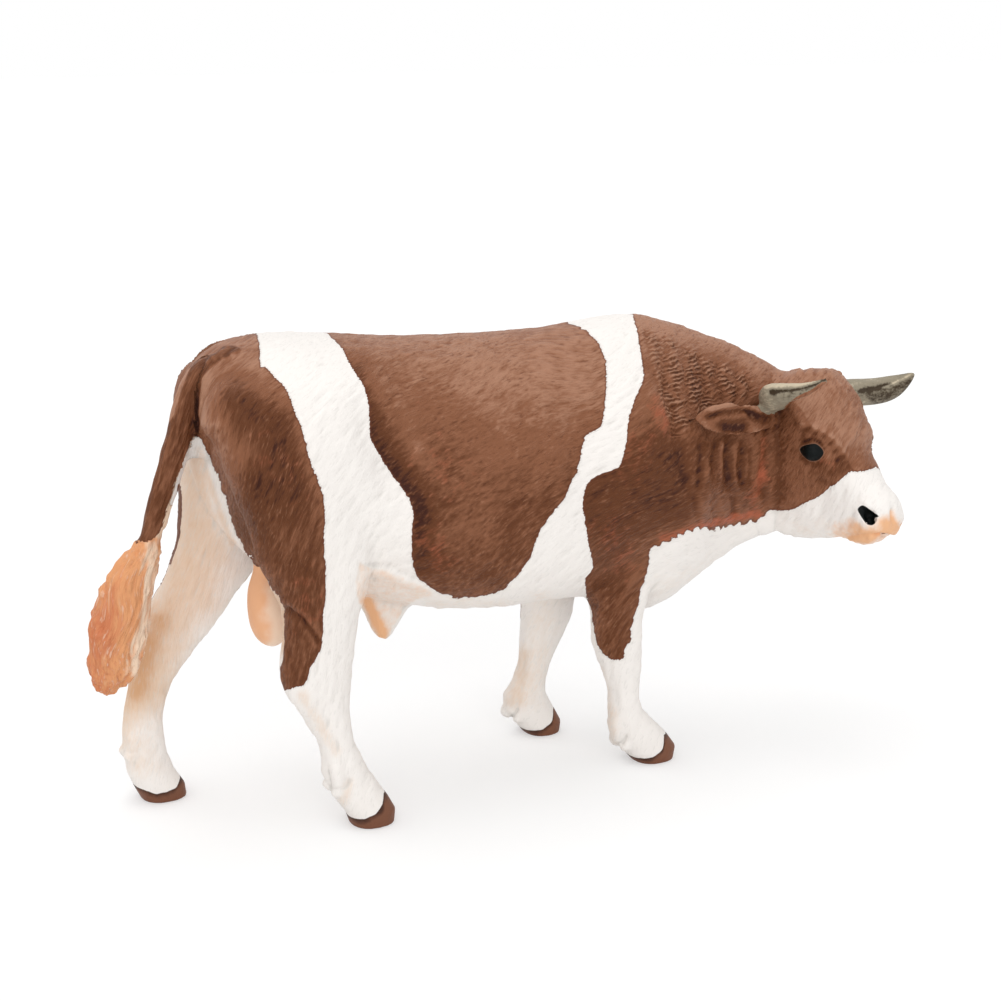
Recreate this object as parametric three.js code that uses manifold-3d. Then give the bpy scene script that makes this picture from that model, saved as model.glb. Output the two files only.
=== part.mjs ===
// Toy bull, walking, with its head turned to its right: a solid moulded figure in twelve glued pieces
// X runs forward along the trunk, Y to the bull's left, Z up; all lengths are in millimetres

import * as THREE from "three";
import { mergeVertices } from "three/addons/utils/BufferGeometryUtils.js";
import Module from "manifold-3d";

const wasm = await Module();
wasm.setup();

// Driving sizes
const bodyLength = 100;
const withersHeight = 75;
const barrelHalfWidth = 21.5;
const hindTrack = 24;
const foreTrack = 19;
const hoofLength = 8;
const hoofWidth = 7.5;
const headLength = 28;
const headHalfWidth = 9;
const hornHalfThickness = 2.3;
const earHalfWidth = 2.5;
const earHalfThickness = 0.75;
const tailHalfThickness = 2.2;
const neckBendRadius = 80;
const eyeRadius = 1.9;
const nostrilRadius = 1;
const mouthGrooveDepth = 0.6;
const mouthGrooveHeight = 0.7;
const cleftWidth = 1.1;
const dewclawRadius = 1.1;

// Glued joints
const clearance = 0.3;
const overrun = 1;
const pegRadius = 1.9;
const pegLength = 4;
const pegChamfer = 0.4;
const neckPegRadius = 4.5;
const neckPegLength = 7;

// Angles, in degrees
const headYaw = -66;
const headPitch = 37;
const headRoll = -7;
const neckJointTurn = -40;
const hindJointSlope = 20;
const foreJointSlope = 42;

// Facets round and along the lofts
const trunkSegments = 40;
const headSegments = 30;
const legSegments = 20;
const smallSegments = 12;
const bodySteps = 2;
const limbSteps = 1;

// Trunk and neck, tail end first. Columns: station along the spine in body lengths; top, bottom and
// widest height in withers heights; half width in barrel half widths; fullness above and below
const trunkSectionShares = [
  [-0.500, 0.925, 0.770, 0.20, 0.840, 2.0, 2.0],
  [-0.490, 0.959, 0.710, 0.37, 0.840, 2.0, 2.0],
  [-0.465, 0.987, 0.630, 0.55, 0.827, 2.2, 2.0],
  [-0.425, 1.006, 0.560, 0.69, 0.813, 2.3, 2.0],
  [-0.375, 1.012, 0.520, 0.78, 0.787, 2.4, 2.0],
  [-0.310, 1.006, 0.487, 0.85, 0.760, 2.4, 2.0],
  [-0.230, 0.995, 0.443, 0.89, 0.707, 2.3, 2.0],
  [-0.150, 0.985, 0.415, 0.94, 0.667, 2.2, 2.1],
  [-0.050, 0.979, 0.397, 1.00, 0.640, 2.1, 2.1],
  [0.050, 0.977, 0.392, 0.98, 0.640, 2.1, 2.1],
  [0.130, 0.983, 0.382, 0.91, 0.653, 2.0, 2.0],
  [0.200, 0.995, 0.350, 0.87, 0.667, 1.9, 1.9],
  [0.260, 0.994, 0.319, 0.82, 0.667, 1.8, 1.8],
  [0.320, 0.972, 0.338, 0.74, 0.667, 1.75, 1.7],
  [0.380, 0.942, 0.385, 0.63, 0.667, 1.75, 1.65],
  [0.440, 0.910, 0.432, 0.53, 0.673, 1.8, 1.65],
  [0.500, 0.868, 0.470, 0.44, 0.673, 1.9, 1.7],
  [0.545, 0.823, 0.500, 0.34, 0.673, 2.0, 1.9],
  [0.575, 0.770, 0.560, 0.20, 0.673, 2.0, 2.0],
];

// Muscles and hollows on each side of the trunk. Columns: station and height of the middle,
// reach along and up, in body lengths and withers heights; swell in barrel half widths
const trunkSwellShares = [
  [-0.31, 0.93, 0.045, 0.045, 0.06],
  [-0.41, 0.78, 0.080, 0.110, 0.07],
  [-0.25, 0.78, 0.050, 0.090, -0.07],
  [-0.10, 0.62, 0.120, 0.130, 0.04],
  [0.05, 0.77, 0.035, 0.160, -0.05],
  [0.16, 0.80, 0.060, 0.150, 0.08],
  [0.28, 0.64, 0.050, 0.080, 0.09],
  [0.33, 0.78, 0.030, 0.110, -0.05],
  [0.41, 0.84, 0.060, 0.050, 0.05],
];

// Where the neck starts to bend and where the head is glued on, in body lengths
const neckBendShare = 0.28;
const neckJointShare = 0.46;
const neckPegHeightShare = 0.68;

// Head, back to nose, in its own frame. Columns: place along, top, bottom and widest height in head
// lengths, half width in head half widths, fullness above and below
const headPlaceShares = [0.545, -0.075, 0.78];
const headSectionShares = [
  [-0.250, 0.020, -0.320, 0.50, -0.145, 2.0, 2.0],
  [-0.180, 0.100, -0.490, 0.78, -0.145, 2.1, 2.0],
  [-0.090, 0.225, -0.585, 0.92, -0.115, 2.2, 1.9],
  [0.035, 0.266, -0.632, 0.97, -0.095, 2.3, 1.8],
  [0.180, 0.244, -0.670, 0.99, -0.070, 2.3, 1.7],
  [0.320, 0.184, -0.690, 0.95, -0.080, 2.2, 1.7],
  [0.395, 0.150, -0.685, 0.87, -0.095, 2.2, 1.7],
  [0.460, 0.066, -0.665, 0.77, -0.115, 2.2, 1.7],
  [0.555, 0.042, -0.610, 0.66, -0.136, 2.2, 1.8],
  [0.660, 0.003, -0.500, 0.57, -0.164, 2.2, 2.0],
  [0.735, -0.008, -0.414, 0.56, -0.170, 2.3, 2.2],
  [0.810, -0.020, -0.368, 0.56, -0.175, 2.3, 2.2],
  [0.870, -0.055, -0.318, 0.53, -0.180, 2.3, 2.2],
  [0.912, -0.100, -0.268, 0.44, -0.185, 2.2, 2.1],
  [0.934, -0.142, -0.232, 0.26, -0.190, 2.0, 2.0],
];

// Brow, cheek, hollow and muzzle. Columns as for the trunk, in head lengths and head half widths
const headSwellShares = [
  [0.25, 0.03, 0.10, 0.05, 0.10],
  [0.12, -0.33, 0.14, 0.16, 0.07],
  [0.32, -0.10, 0.07, 0.04, -0.10],
  [0.53, -0.27, 0.09, 0.12, -0.08],
  [0.82, -0.17, 0.07, 0.09, 0.08],
];
const eyePlaceShares = [0.315, 0.84, -0.071];

// Nostril, from its tail to its lower end. Columns: along, out and up in head lengths, radius
const nostrilShares = [
  [0.750, 0.205, -0.070, 0.6],
  [0.795, 0.190, -0.105, 1.0],
  [0.830, 0.170, -0.150, 0.9],
  [0.835, 0.150, -0.185, 0.5],
];

// Mouth line in head lengths: place along, height
const mouthFrontShares = [1.05, -0.225];
const mouthBackShares = [0.62, -0.315];

// Horns from the root in the socket to the tip, in the head's frame. Columns: along in head lengths,
// out in head half widths, up in head lengths; half thickness in those of the horn
const rightHornShares = [
  [-0.055, 0.556, 0.000, 0.78],
  [-0.036, 1.000, 0.030, 0.86],
  [-0.027, 1.356, 0.052, 0.92],
  [-0.017, 1.644, 0.082, 0.92],
  [0.013, 1.844, 0.136, 0.85],
  [0.076, 1.911, 0.215, 0.67],
  [0.141, 1.889, 0.305, 0.47],
  [0.185, 1.778, 0.414, 0.15],
];
const leftHornShares = [
  [0.085, 0.622, 0.150, 1.00],
  [0.120, 1.027, 0.170, 1.04],
  [0.150, 1.338, 0.195, 1.03],
  [0.178, 1.577, 0.232, 0.99],
  [0.198, 1.733, 0.277, 0.87],
  [0.213, 1.801, 0.326, 0.64],
  [0.225, 1.811, 0.373, 0.39],
  [0.236, 1.776, 0.418, 0.12],
];

// Ear from the root in the socket to the tip. Columns: along in head lengths, out in head half
// widths, up in head lengths; half width and half thickness in those of the ear; cup of the hollow
// in ear half widths
const earShares = [
  [0.009, 1.027, -0.100, 0.48, 1.50, 0.0],
  [0.016, 1.478, -0.080, 0.60, 1.30, 0.0],
  [0.009, 1.836, -0.072, 0.86, 1.15, 0.2],
  [-0.019, 2.271, -0.081, 1.00, 1.00, 0.35],
  [-0.060, 2.710, -0.098, 0.95, 0.95, 0.35],
  [-0.090, 3.008, -0.115, 0.72, 0.85, 0.25],
  [-0.117, 3.236, -0.131, 0.20, 0.60, 0.1],
];
const earWidthShares = [-0.71, 0.12, 0.69];

// Legs, sole first. Columns: height in withers heights, middle in body lengths, depth in hoof
// lengths, middle out to the side in half tracks, width in hoof widths
const rightHindShares = [
  [0.008, -0.277, 0.86, 1.02, 0.93],
  [0.035, -0.279, 0.97, 1.02, 0.99],
  [0.067, -0.293, 1.02, 1.01, 0.93],
  [0.107, -0.309, 0.93, 1.00, 0.85],
  [0.147, -0.322, 0.79, 1.00, 0.75],
  [0.200, -0.333, 0.69, 1.00, 0.72],
  [0.267, -0.349, 0.96, 1.00, 0.80],
  [0.313, -0.359, 1.27, 1.00, 0.91],
  [0.360, -0.361, 1.42, 1.00, 1.01],
  [0.427, -0.355, 1.40, 1.00, 1.17],
  [0.493, -0.350, 1.52, 1.02, 1.39],
  [0.560, -0.353, 2.02, 1.02, 1.60],
  [0.640, -0.364, 2.60, 1.00, 1.81],
  [0.720, -0.380, 2.89, 0.95, 1.97],
  [0.800, -0.403, 2.82, 0.90, 1.92],
  [0.880, -0.423, 2.28, 0.80, 1.62],
  [0.920, -0.427, 1.90, 0.75, 1.35],
  [0.945, -0.430, 1.40, 0.69, 1.00],
  [0.957, -0.430, 0.70, 0.65, 0.50],
];
const leftHindShares = [
  [0.008, -0.540, 0.90, 0.96, 0.93],
  [0.036, -0.546, 1.00, 0.96, 0.99],
  [0.073, -0.560, 0.93, 0.96, 0.93],
  [0.113, -0.566, 0.85, 0.96, 0.85],
  [0.160, -0.569, 0.79, 0.96, 0.75],
  [0.213, -0.565, 0.77, 0.96, 0.72],
  [0.273, -0.552, 0.86, 0.96, 0.80],
  [0.320, -0.534, 1.19, 0.96, 0.91],
  [0.373, -0.512, 1.55, 0.97, 1.01],
  [0.427, -0.483, 1.68, 0.98, 1.15],
  [0.493, -0.445, 1.76, 1.00, 1.33],
  [0.560, -0.415, 2.01, 1.00, 1.55],
  [0.640, -0.398, 2.31, 0.98, 1.76],
  [0.720, -0.391, 2.52, 0.95, 1.87],
  [0.800, -0.397, 2.56, 0.90, 1.87],
  [0.880, -0.413, 2.08, 0.80, 1.60],
  [0.920, -0.420, 1.75, 0.75, 1.35],
  [0.945, -0.424, 1.30, 0.69, 1.00],
  [0.957, -0.426, 0.65, 0.65, 0.50],
];
const rightForeShares = [
  [0.008, 0.244, 0.87, 1.03, 0.93],
  [0.036, 0.237, 1.17, 1.03, 1.01],
  [0.071, 0.219, 1.15, 1.03, 0.96],
  [0.107, 0.203, 0.87, 1.03, 0.88],
  [0.140, 0.190, 0.66, 1.03, 0.75],
  [0.187, 0.186, 0.65, 1.03, 0.69],
  [0.240, 0.181, 0.84, 1.03, 0.85],
  [0.293, 0.173, 1.02, 1.03, 1.01],
  [0.360, 0.171, 1.06, 1.03, 1.09],
  [0.427, 0.174, 1.36, 1.04, 1.28],
  [0.493, 0.178, 1.55, 1.05, 1.49],
  [0.573, 0.190, 1.87, 1.05, 1.76],
  [0.667, 0.210, 2.12, 1.01, 1.97],
  [0.773, 0.230, 2.00, 0.95, 1.87],
  [0.853, 0.240, 1.50, 0.84, 1.33],
];
const leftForeShares = [
  [0.008, 0.132, 0.77, 0.98, 0.93],
  [0.033, 0.126, 1.00, 0.98, 1.01],
  [0.067, 0.112, 1.02, 0.98, 0.93],
  [0.107, 0.104, 0.82, 0.98, 0.85],
  [0.140, 0.109, 0.71, 0.98, 0.72],
  [0.187, 0.120, 0.71, 0.98, 0.72],
  [0.240, 0.132, 0.93, 0.98, 0.88],
  [0.293, 0.142, 1.13, 0.98, 1.01],
  [0.360, 0.149, 1.18, 0.99, 1.12],
  [0.427, 0.155, 1.35, 1.01, 1.28],
  [0.493, 0.159, 1.57, 1.03, 1.49],
  [0.573, 0.173, 1.87, 1.05, 1.76],
  [0.667, 0.195, 2.12, 1.01, 1.97],
  [0.773, 0.222, 2.05, 0.95, 1.87],
  [0.853, 0.237, 1.57, 0.84, 1.33],
];

// Height of the leg joints in withers heights; hoof cleft and dewclaws in hoof lengths and widths
const hindJointShare = 0.46;
const foreJointShare = 0.39;
const cleftDepthShare = 0.55;
const cleftHeightShare = 0.7;
const dewclawOutShare = 0.22;
const rightHindDewclawShare = 0.095;
const leftHindDewclawShare = 0.118;
const foreDewclawShare = 0.058;

// Sheath under the belly and scrotum between the thighs, lowest section first; columns as for legs
const sheathShares = [
  [0.342, -0.201, 0.15, 0, 0.20],
  [0.352, -0.201, 0.34, 0, 0.40],
  [0.380, -0.199, 0.62, 0, 0.62],
  [0.415, -0.195, 1.05, 0, 0.80],
  [0.450, -0.192, 1.60, 0, 0.95],
  [0.500, -0.190, 1.80, 0, 0.95],
];
const scrotumShares = [
  [0.366, -0.389, 0.20, 0, 0.35],
  [0.380, -0.391, 0.50, 0, 0.80],
  [0.407, -0.393, 0.66, 0, 1.04],
  [0.445, -0.396, 0.67, 0, 1.01],
  [0.485, -0.399, 0.57, 0, 0.84],
  [0.520, -0.396, 0.45, 0, 0.66],
  [0.560, -0.391, 0.40, 0, 0.55],
  [0.600, -0.388, 0.38, 0, 0.52],
];

// Tail from the root in its socket to the tip of the brush. Columns: along in body lengths, height in
// withers heights, half thickness to the side and front to back in tail half thicknesses
const tailShares = [
  [-0.428, 0.945, 0.90, 0.80],
  [-0.460, 0.958, 1.05, 0.90],
  [-0.486, 0.940, 1.05, 0.95],
  [-0.504, 0.893, 1.00, 0.98],
  [-0.519, 0.827, 0.95, 0.97],
  [-0.541, 0.747, 0.85, 0.90],
  [-0.562, 0.667, 0.75, 0.80],
  [-0.573, 0.627, 0.70, 0.68],
  [-0.580, 0.600, 0.95, 1.00],
  [-0.597, 0.560, 1.30, 1.50],
  [-0.613, 0.515, 1.50, 1.80],
  [-0.625, 0.460, 1.60, 1.95],
  [-0.634, 0.400, 1.50, 1.85],
  [-0.648, 0.345, 1.00, 1.35],
  [-0.655, 0.318, 0.35, 0.45],
];

// Exponent of a round section, which is fuller above two
const legFullness = 2.3;

// Solid from a closed surface
function solidOf(geometry) {
  const bare = geometry.clone();
  bare.deleteAttribute("normal");
  bare.deleteAttribute("uv");
  const merged = mergeVertices(bare);
  return new wasm.Manifold(
    new wasm.Mesh({
      numProp: 3,
      vertProperties: merged.attributes.position.array,
      triVerts: new Uint32Array(merged.index.array),
    }),
  );
}

// Solid through rings of points that run left-handed round their row, closed at both ends
function solidThrough(rings) {
  const around = rings[0].length;
  const points = rings.flat();
  const ends = [rings[0], rings[rings.length - 1]];
  for (const ring of ends) {
    const middle = new THREE.Vector3();
    ring.forEach((point) => middle.add(point));
    points.push(middle.divideScalar(around));
  }
  const lastRing = (rings.length - 1) * around;
  const backMiddle = points.length - 2;
  const frontMiddle = points.length - 1;
  const faces = [];
  for (let k = 0; k < around; k += 1) {
    const next = (k + 1) % around;
    faces.push(backMiddle, next, k);
    faces.push(frontMiddle, lastRing + k, lastRing + next);
    for (let start = 0; start < lastRing; start += around) {
      faces.push(start + k, start + next, start + around + next);
      faces.push(start + k, start + around + next, start + around + k);
    }
  }
  const surface = new THREE.BufferGeometry().setFromPoints(points);
  surface.setIndex(faces);
  return solidOf(surface);
}

// Rows of a table with smooth rows added between them; the first column sets the spacing
function smoothRows(rows, steps) {
  const width = rows[0].length;
  const places = rows.map((row) => row[0]);
  const curve = new THREE.CubicInterpolant(places, rows.flat(), width);
  const added = [];
  rows.forEach((row, index) => {
    const following = rows[index + 1];
    const count = following ? steps : 1;
    for (let step = 0; step < count; step += 1) {
      const place = following ? row[0] + ((following[0] - row[0]) * step) / count : row[0];
      added.push(Array.from(curve.evaluate(place)));
    }
  });
  return added;
}

// Signed power, for sections between an ellipse and a rounded box
function power(value, fullness) {
  return Math.sign(value) * Math.abs(value) ** (2 / fullness);
}

// Sum of the swells at a place on the side of a loft
function swellAt(swells, along, up) {
  let sum = 0;
  for (const [middle, height, reach, rise, swell] of swells) {
    sum += swell * Math.exp(-(((along - middle) / reach) ** 2) - ((up - height) / rise) ** 2);
  }
  return sum;
}

// Outline of an egg-shaped section as pairs of side and height
function sectionOutline([along, top, bottom, half, widest, above, below], swells, segments) {
  const outline = [];
  for (let k = 0; k < segments; k += 1) {
    const angle = (2 * Math.PI * k) / segments;
    const fullness = Math.sin(angle) > 0 ? above : below;
    const rise = Math.sin(angle) > 0 ? top - widest : widest - bottom;
    const side = power(Math.cos(angle), fullness);
    const up = widest + rise * power(Math.sin(angle), fullness);
    outline.push([side * (half + swellAt(swells, along, up)), up]);
  }
  return outline;
}

// Columns of a row, each times its own size
function scaled(rows, sizes) {
  return rows.map((row) => row.map((value, column) => value * sizes[column]));
}

// Place and heading of the spine: straight, then bending to the bull's right
function spineAt(station) {
  const bendStart = neckBendShare * bodyLength;
  const turn = Math.max(0, station - bendStart) / neckBendRadius;
  return {
    x: Math.min(station, bendStart) + neckBendRadius * Math.sin(turn),
    y: -neckBendRadius * (1 - Math.cos(turn)),
    heading: -turn,
  };
}

// Trunk and neck as one loft along the spine
function trunkLoft() {
  const sizes = [bodyLength, withersHeight, withersHeight, barrelHalfWidth, withersHeight, 1, 1];
  const swellSizes = [bodyLength, withersHeight, bodyLength, withersHeight, barrelHalfWidth];
  const swells = scaled(trunkSwellShares, swellSizes);
  const rings = smoothRows(scaled(trunkSectionShares, sizes), bodySteps).map((row) => {
    const spine = spineAt(row[0]);
    return sectionOutline(row, swells, trunkSegments).map(([side, up]) => {
      const x = spine.x - side * Math.sin(spine.heading);
      return new THREE.Vector3(x, spine.y + side * Math.cos(spine.heading), up);
    });
  });
  return solidThrough(rings);
}

// Round loft with level sections, for legs, sheath and scrotum
function uprightLoft(shares, side, track, grow) {
  const sizes = [withersHeight, bodyLength, hoofLength, (side * track) / 2, hoofWidth];
  const rows = smoothRows(scaled(shares, sizes), limbSteps);
  const rings = rows.map(([height, middle, depth, out, width], index) => {
    const ring = [];
    const lift = grow * ((index === rows.length - 1) - (index === 0));
    for (let k = 0; k < legSegments; k += 1) {
      const angle = (2 * Math.PI * k) / legSegments;
      const x = middle + (depth / 2 + grow) * power(Math.cos(angle), legFullness);
      const y = out + (width / 2 + grow) * power(Math.sin(angle), legFullness);
      ring.push(new THREE.Vector3(x, y, height + lift));
    }
    return ring;
  });
  return solidThrough(rings);
}

// Sweep along a path with an oval section that may be cupped; rows hold the path, the half width
// towards the given side, the half thickness and the cup
function sweep(rows, sideways, steps, segments, grow) {
  let travelled = 0;
  const spaced = rows.map((row, index) => {
    const before = rows[Math.max(0, index - 1)];
    travelled += Math.hypot(row[0] - before[0], row[1] - before[1], row[2] - before[2]);
    return [travelled, ...row];
  });
  const smooth = smoothRows(spaced, steps);
  const path = smooth.map((row) => new THREE.Vector3(row[1], row[2], row[3]));
  const rings = smooth.map((row, index) => {
    const last = smooth.length - 1;
    const ahead = path[Math.min(index + 1, last)].clone();
    const along = ahead.sub(path[Math.max(index - 1, 0)]).normalize();
    const across = sideways.clone().addScaledVector(along, -sideways.dot(along)).normalize();
    const over = along.clone().cross(across);
    const end = grow * ((index === last) - (index === 0));
    const ring = [];
    for (let k = 0; k < segments; k += 1) {
      const angle = (2 * Math.PI * k) / segments;
      const lift = (row[5] + grow) * Math.sin(angle) + row[6] * Math.cos(angle) ** 2;
      const point = path[index].clone().addScaledVector(along, end);
      point.addScaledVector(across, (row[4] + grow) * Math.cos(angle));
      ring.push(point.addScaledVector(over, lift));
    }
    return ring;
  });
  return solidThrough(rings);
}

// Everything beyond a plane, from half a clearance before it
function beyond(point, direction) {
  const reach = 2 * bodyLength;
  const block = new THREE.BoxGeometry(reach, reach, reach);
  block.translate(0, 0, reach / 2 - clearance / 2);
  block.applyQuaternion(
    new THREE.Quaternion().setFromUnitVectors(new THREE.Vector3(0, 0, 1), direction),
  );
  block.translate(point.x, point.y, point.z);
  return solidOf(block);
}

// Round peg with a chamfered end, from a plane along a direction; it starts inside its own piece
function pegFrom(point, direction, radius, length, grow) {
  const wide = radius + grow;
  const long = length + grow;
  const profile = [
    new THREE.Vector2(0, -overrun),
    new THREE.Vector2(wide, -overrun),
    new THREE.Vector2(wide, long - pegChamfer),
    new THREE.Vector2(wide - pegChamfer, long),
    new THREE.Vector2(0, long),
  ];
  const peg = new THREE.LatheGeometry(profile, smallSegments);
  peg.applyQuaternion(
    new THREE.Quaternion().setFromUnitVectors(new THREE.Vector3(0, 1, 0), direction),
  );
  peg.translate(point.x, point.y, point.z);
  return solidOf(peg);
}

// Matrix from the head's own frame to the figure's
function headPlace() {
  const turn = new THREE.Euler(
    THREE.MathUtils.degToRad(headRoll),
    THREE.MathUtils.degToRad(headPitch),
    THREE.MathUtils.degToRad(headYaw),
    "ZYX",
  );
  const place = new THREE.Matrix4().makeRotationFromEuler(turn);
  const [along, out, up] = headPlaceShares;
  return place.setPosition(along * bodyLength, out * bodyLength, up * withersHeight);
}

// Head loft in its own frame, grown or shrunk all round
function headLoft(grow) {
  const sizes = [headLength, headLength, headLength, headHalfWidth, headLength, 1, 1];
  const swellSizes = [headLength, headLength, headLength, headLength, headHalfWidth];
  const swells = scaled(headSwellShares, swellSizes);
  const rows = smoothRows(scaled(headSectionShares, sizes), bodySteps);
  const rings = rows.map((row, index) => {
    const end = grow * ((index === rows.length - 1) - (index === 0));
    const grown = row.slice();
    grown[1] += grow;
    grown[2] -= grow;
    grown[3] += grow;
    return sectionOutline(grown, swells, headSegments).map(
      ([side, up]) => new THREE.Vector3(row[0] + end, side, up),
    );
  });
  return solidThrough(rings);
}

// Shallow line of the closed mouth, cut only as deep as the skin round a shrunken head
function mouthGroove() {
  const [frontAlong, frontUp] = mouthFrontShares;
  const [backAlong, backUp] = mouthBackShares;
  const wedge = new THREE.Shape();
  wedge.moveTo(frontAlong * headLength, frontUp * headLength + mouthGrooveHeight / 2);
  wedge.lineTo(backAlong * headLength, backUp * headLength);
  wedge.lineTo(frontAlong * headLength, frontUp * headLength - mouthGrooveHeight / 2);
  const reach = 2 * (headHalfWidth + overrun);
  const plate = new THREE.ExtrudeGeometry(wedge, { depth: reach, bevelEnabled: false });
  plate.translate(0, 0, -reach / 2);
  plate.rotateX(Math.PI / 2);
  return solidOf(plate).subtract(headLoft(-mouthGrooveDepth));
}

function nostril(side) {
  const sizes = [headLength, side * headLength, headLength, nostrilRadius];
  const rows = scaled(nostrilShares, sizes).map((row) => [...row, row[3], 0]);
  return sweep(rows, new THREE.Vector3(0, 0, 1), limbSteps, smallSegments, 0);
}

function eyeball(side) {
  const ball = new THREE.SphereGeometry(eyeRadius, smallSegments, smallSegments / 2);
  const [along, out, up] = eyePlaceShares;
  ball.translate(along * headLength, side * out * headHalfWidth, up * headLength);
  return solidOf(ball);
}

// Horn in the head's frame
function horn(shares, side, grow) {
  const sizes = [headLength, side * headHalfWidth, headLength, hornHalfThickness];
  const rows = scaled(shares, sizes).map((row) => [...row, row[3], 0]);
  return sweep(rows, new THREE.Vector3(0, 0, 1), bodySteps, smallSegments, grow);
}

// Cupped ear in the head's frame
function ear(side, grow) {
  const sizes = [
    headLength, side * headHalfWidth, headLength, earHalfWidth, earHalfThickness, side * earHalfWidth,
  ];
  const [along, out, up] = earWidthShares;
  const width = new THREE.Vector3(along, side * out, up).normalize();
  return sweep(scaled(earShares, sizes), width, bodySteps, smallSegments, grow);
}

function tail(grow) {
  const sizes = [bodyLength, withersHeight, tailHalfThickness, tailHalfThickness];
  const rows = scaled(tailShares, sizes).map(([along, up, side, deep]) => [along, 0, up, side, deep, 0]);
  return sweep(rows, new THREE.Vector3(0, 1, 0), bodySteps, smallSegments, grow);
}

// Thin wedge cut between the two claws of a hoof, open to the front and below
function hoofCleft({ shares, side, track }) {
  const [, middle, depth, out] = shares[1];
  const front = middle * bodyLength + (depth * hoofLength) / 2;
  const deep = cleftDepthShare * hoofLength;
  const wedge = new THREE.Shape();
  wedge.moveTo(front - deep, 0);
  wedge.lineTo(front + overrun, -cleftWidth / 2);
  wedge.lineTo(front + overrun, cleftWidth / 2);
  const height = cleftHeightShare * hoofLength + overrun;
  const cut = new THREE.ExtrudeGeometry(wedge, { depth: height, bevelEnabled: false });
  cut.translate(0, (side * out * track) / 2, shares[0][0] * withersHeight - overrun);
  return solidOf(cut);
}

// Row of a table at a place between its rows
function rowAt(rows, place) {
  const curve = new THREE.CubicInterpolant(rows.map((row) => row[0]), rows.flat(), rows[0].length);
  return curve.evaluate(place);
}

// Pair of dewclaws behind the pastern
function dewclaws({ shares, side, track, dewclawShare }) {
  const height = dewclawShare * withersHeight;
  const [, middle, depth, out, width] = rowAt(shares, dewclawShare);
  const back = middle * bodyLength - (depth * hoofLength) / 2;
  const claws = [-1, 1].map((hand) => {
    const claw = new THREE.SphereGeometry(dewclawRadius, smallSegments / 2, smallSegments / 2);
    const aside = (side * out * track) / 2 + hand * dewclawOutShare * width * hoofWidth;
    claw.translate(back + dewclawRadius / 2, aside, height);
    return solidOf(claw);
  });
  return claws[0].add(claws[1]);
}

// Whole leg with its hoof, from the sole up into the body
function wholeLeg(leg) {
  const loft = uprightLoft(leg.shares, leg.side, leg.track, 0);
  return loft.add(dewclaws(leg)).subtract(hoofCleft(leg));
}

// Slanting joint of a leg: its middle and the direction up into the body
function legJoint({ shares, side, track, jointShare, slope }) {
  const [, middle, , out] = rowAt(shares, jointShare);
  const tilt = THREE.MathUtils.degToRad(slope);
  return {
    point: new THREE.Vector3(middle * bodyLength, (side * out * track) / 2, jointShare * withersHeight),
    direction: new THREE.Vector3(0, -side * Math.sin(tilt), Math.cos(tilt)),
  };
}

const hind = { track: hindTrack, jointShare: hindJointShare, slope: hindJointSlope };
const fore = { track: foreTrack, jointShare: foreJointShare, slope: foreJointSlope };
const legs = {
  right_hind_leg: { ...hind, shares: rightHindShares, side: -1, dewclawShare: rightHindDewclawShare },
  left_hind_leg: { ...hind, shares: leftHindShares, side: 1, dewclawShare: leftHindDewclawShare },
  right_foreleg: { ...fore, shares: rightForeShares, side: -1, dewclawShare: foreDewclawShare },
  left_foreleg: { ...fore, shares: leftForeShares, side: 1, dewclawShare: foreDewclawShare },
};

// Plane and peg between neck and head
function neckJoint() {
  const spine = spineAt(neckJointShare * bodyLength);
  const turn = THREE.MathUtils.degToRad(neckJointTurn);
  return {
    point: new THREE.Vector3(spine.x, spine.y, neckPegHeightShare * withersHeight),
    direction: new THREE.Vector3(Math.cos(turn), Math.sin(turn), 0),
  };
}

// Head with the front of the neck, its sockets and its peg
function head() {
  const place = headPlace().elements;
  let face = headLoft(0);
  for (const side of [-1, 1]) {
    face = face.add(eyeball(side)).subtract(nostril(side));
  }
  face = face.subtract(mouthGroove());
  const { point, direction } = neckJoint();
  const back = direction.clone().negate();
  let piece = trunkLoft().add(face.transform(place)).subtract(beyond(point, back));
  piece = piece.subtract(horn(rightHornShares, -1, clearance).transform(place));
  piece = piece.subtract(horn(leftHornShares, 1, clearance).transform(place));
  for (const side of [-1, 1]) {
    piece = piece.subtract(ear(side, clearance).transform(place));
  }
  return piece.add(pegFrom(point, back, neckPegRadius, neckPegLength, 0));
}

// Lower leg with the peg that enters the body
function lowerLeg(leg) {
  const { point, direction } = legJoint(leg);
  const lower = wholeLeg(leg).subtract(beyond(point, direction));
  return lower.add(pegFrom(point, direction, pegRadius, pegLength, 0));
}

// Trunk with the shoulders, thighs and sheath, and a socket for every piece that is glued on
function torso() {
  let body = trunkLoft().add(uprightLoft(sheathShares, 1, 0, 0));
  for (const leg of Object.values(legs)) {
    const { point, direction } = legJoint(leg);
    const down = direction.clone().negate();
    body = body.add(wholeLeg(leg).subtract(beyond(point, down)));
    body = body.subtract(pegFrom(point, direction, pegRadius, pegLength, clearance));
  }
  const { point, direction } = neckJoint();
  body = body.subtract(beyond(point, direction));
  body = body.subtract(pegFrom(point, direction.clone().negate(), neckPegRadius, neckPegLength, clearance));
  body = body.subtract(uprightLoft(scrotumShares, 1, 0, clearance));
  const place = headPlace().elements;
  for (const side of [-1, 1]) {
    body = body.subtract(ear(side, clearance).transform(place));
  }
  return body.subtract(tail(clearance));
}

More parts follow.
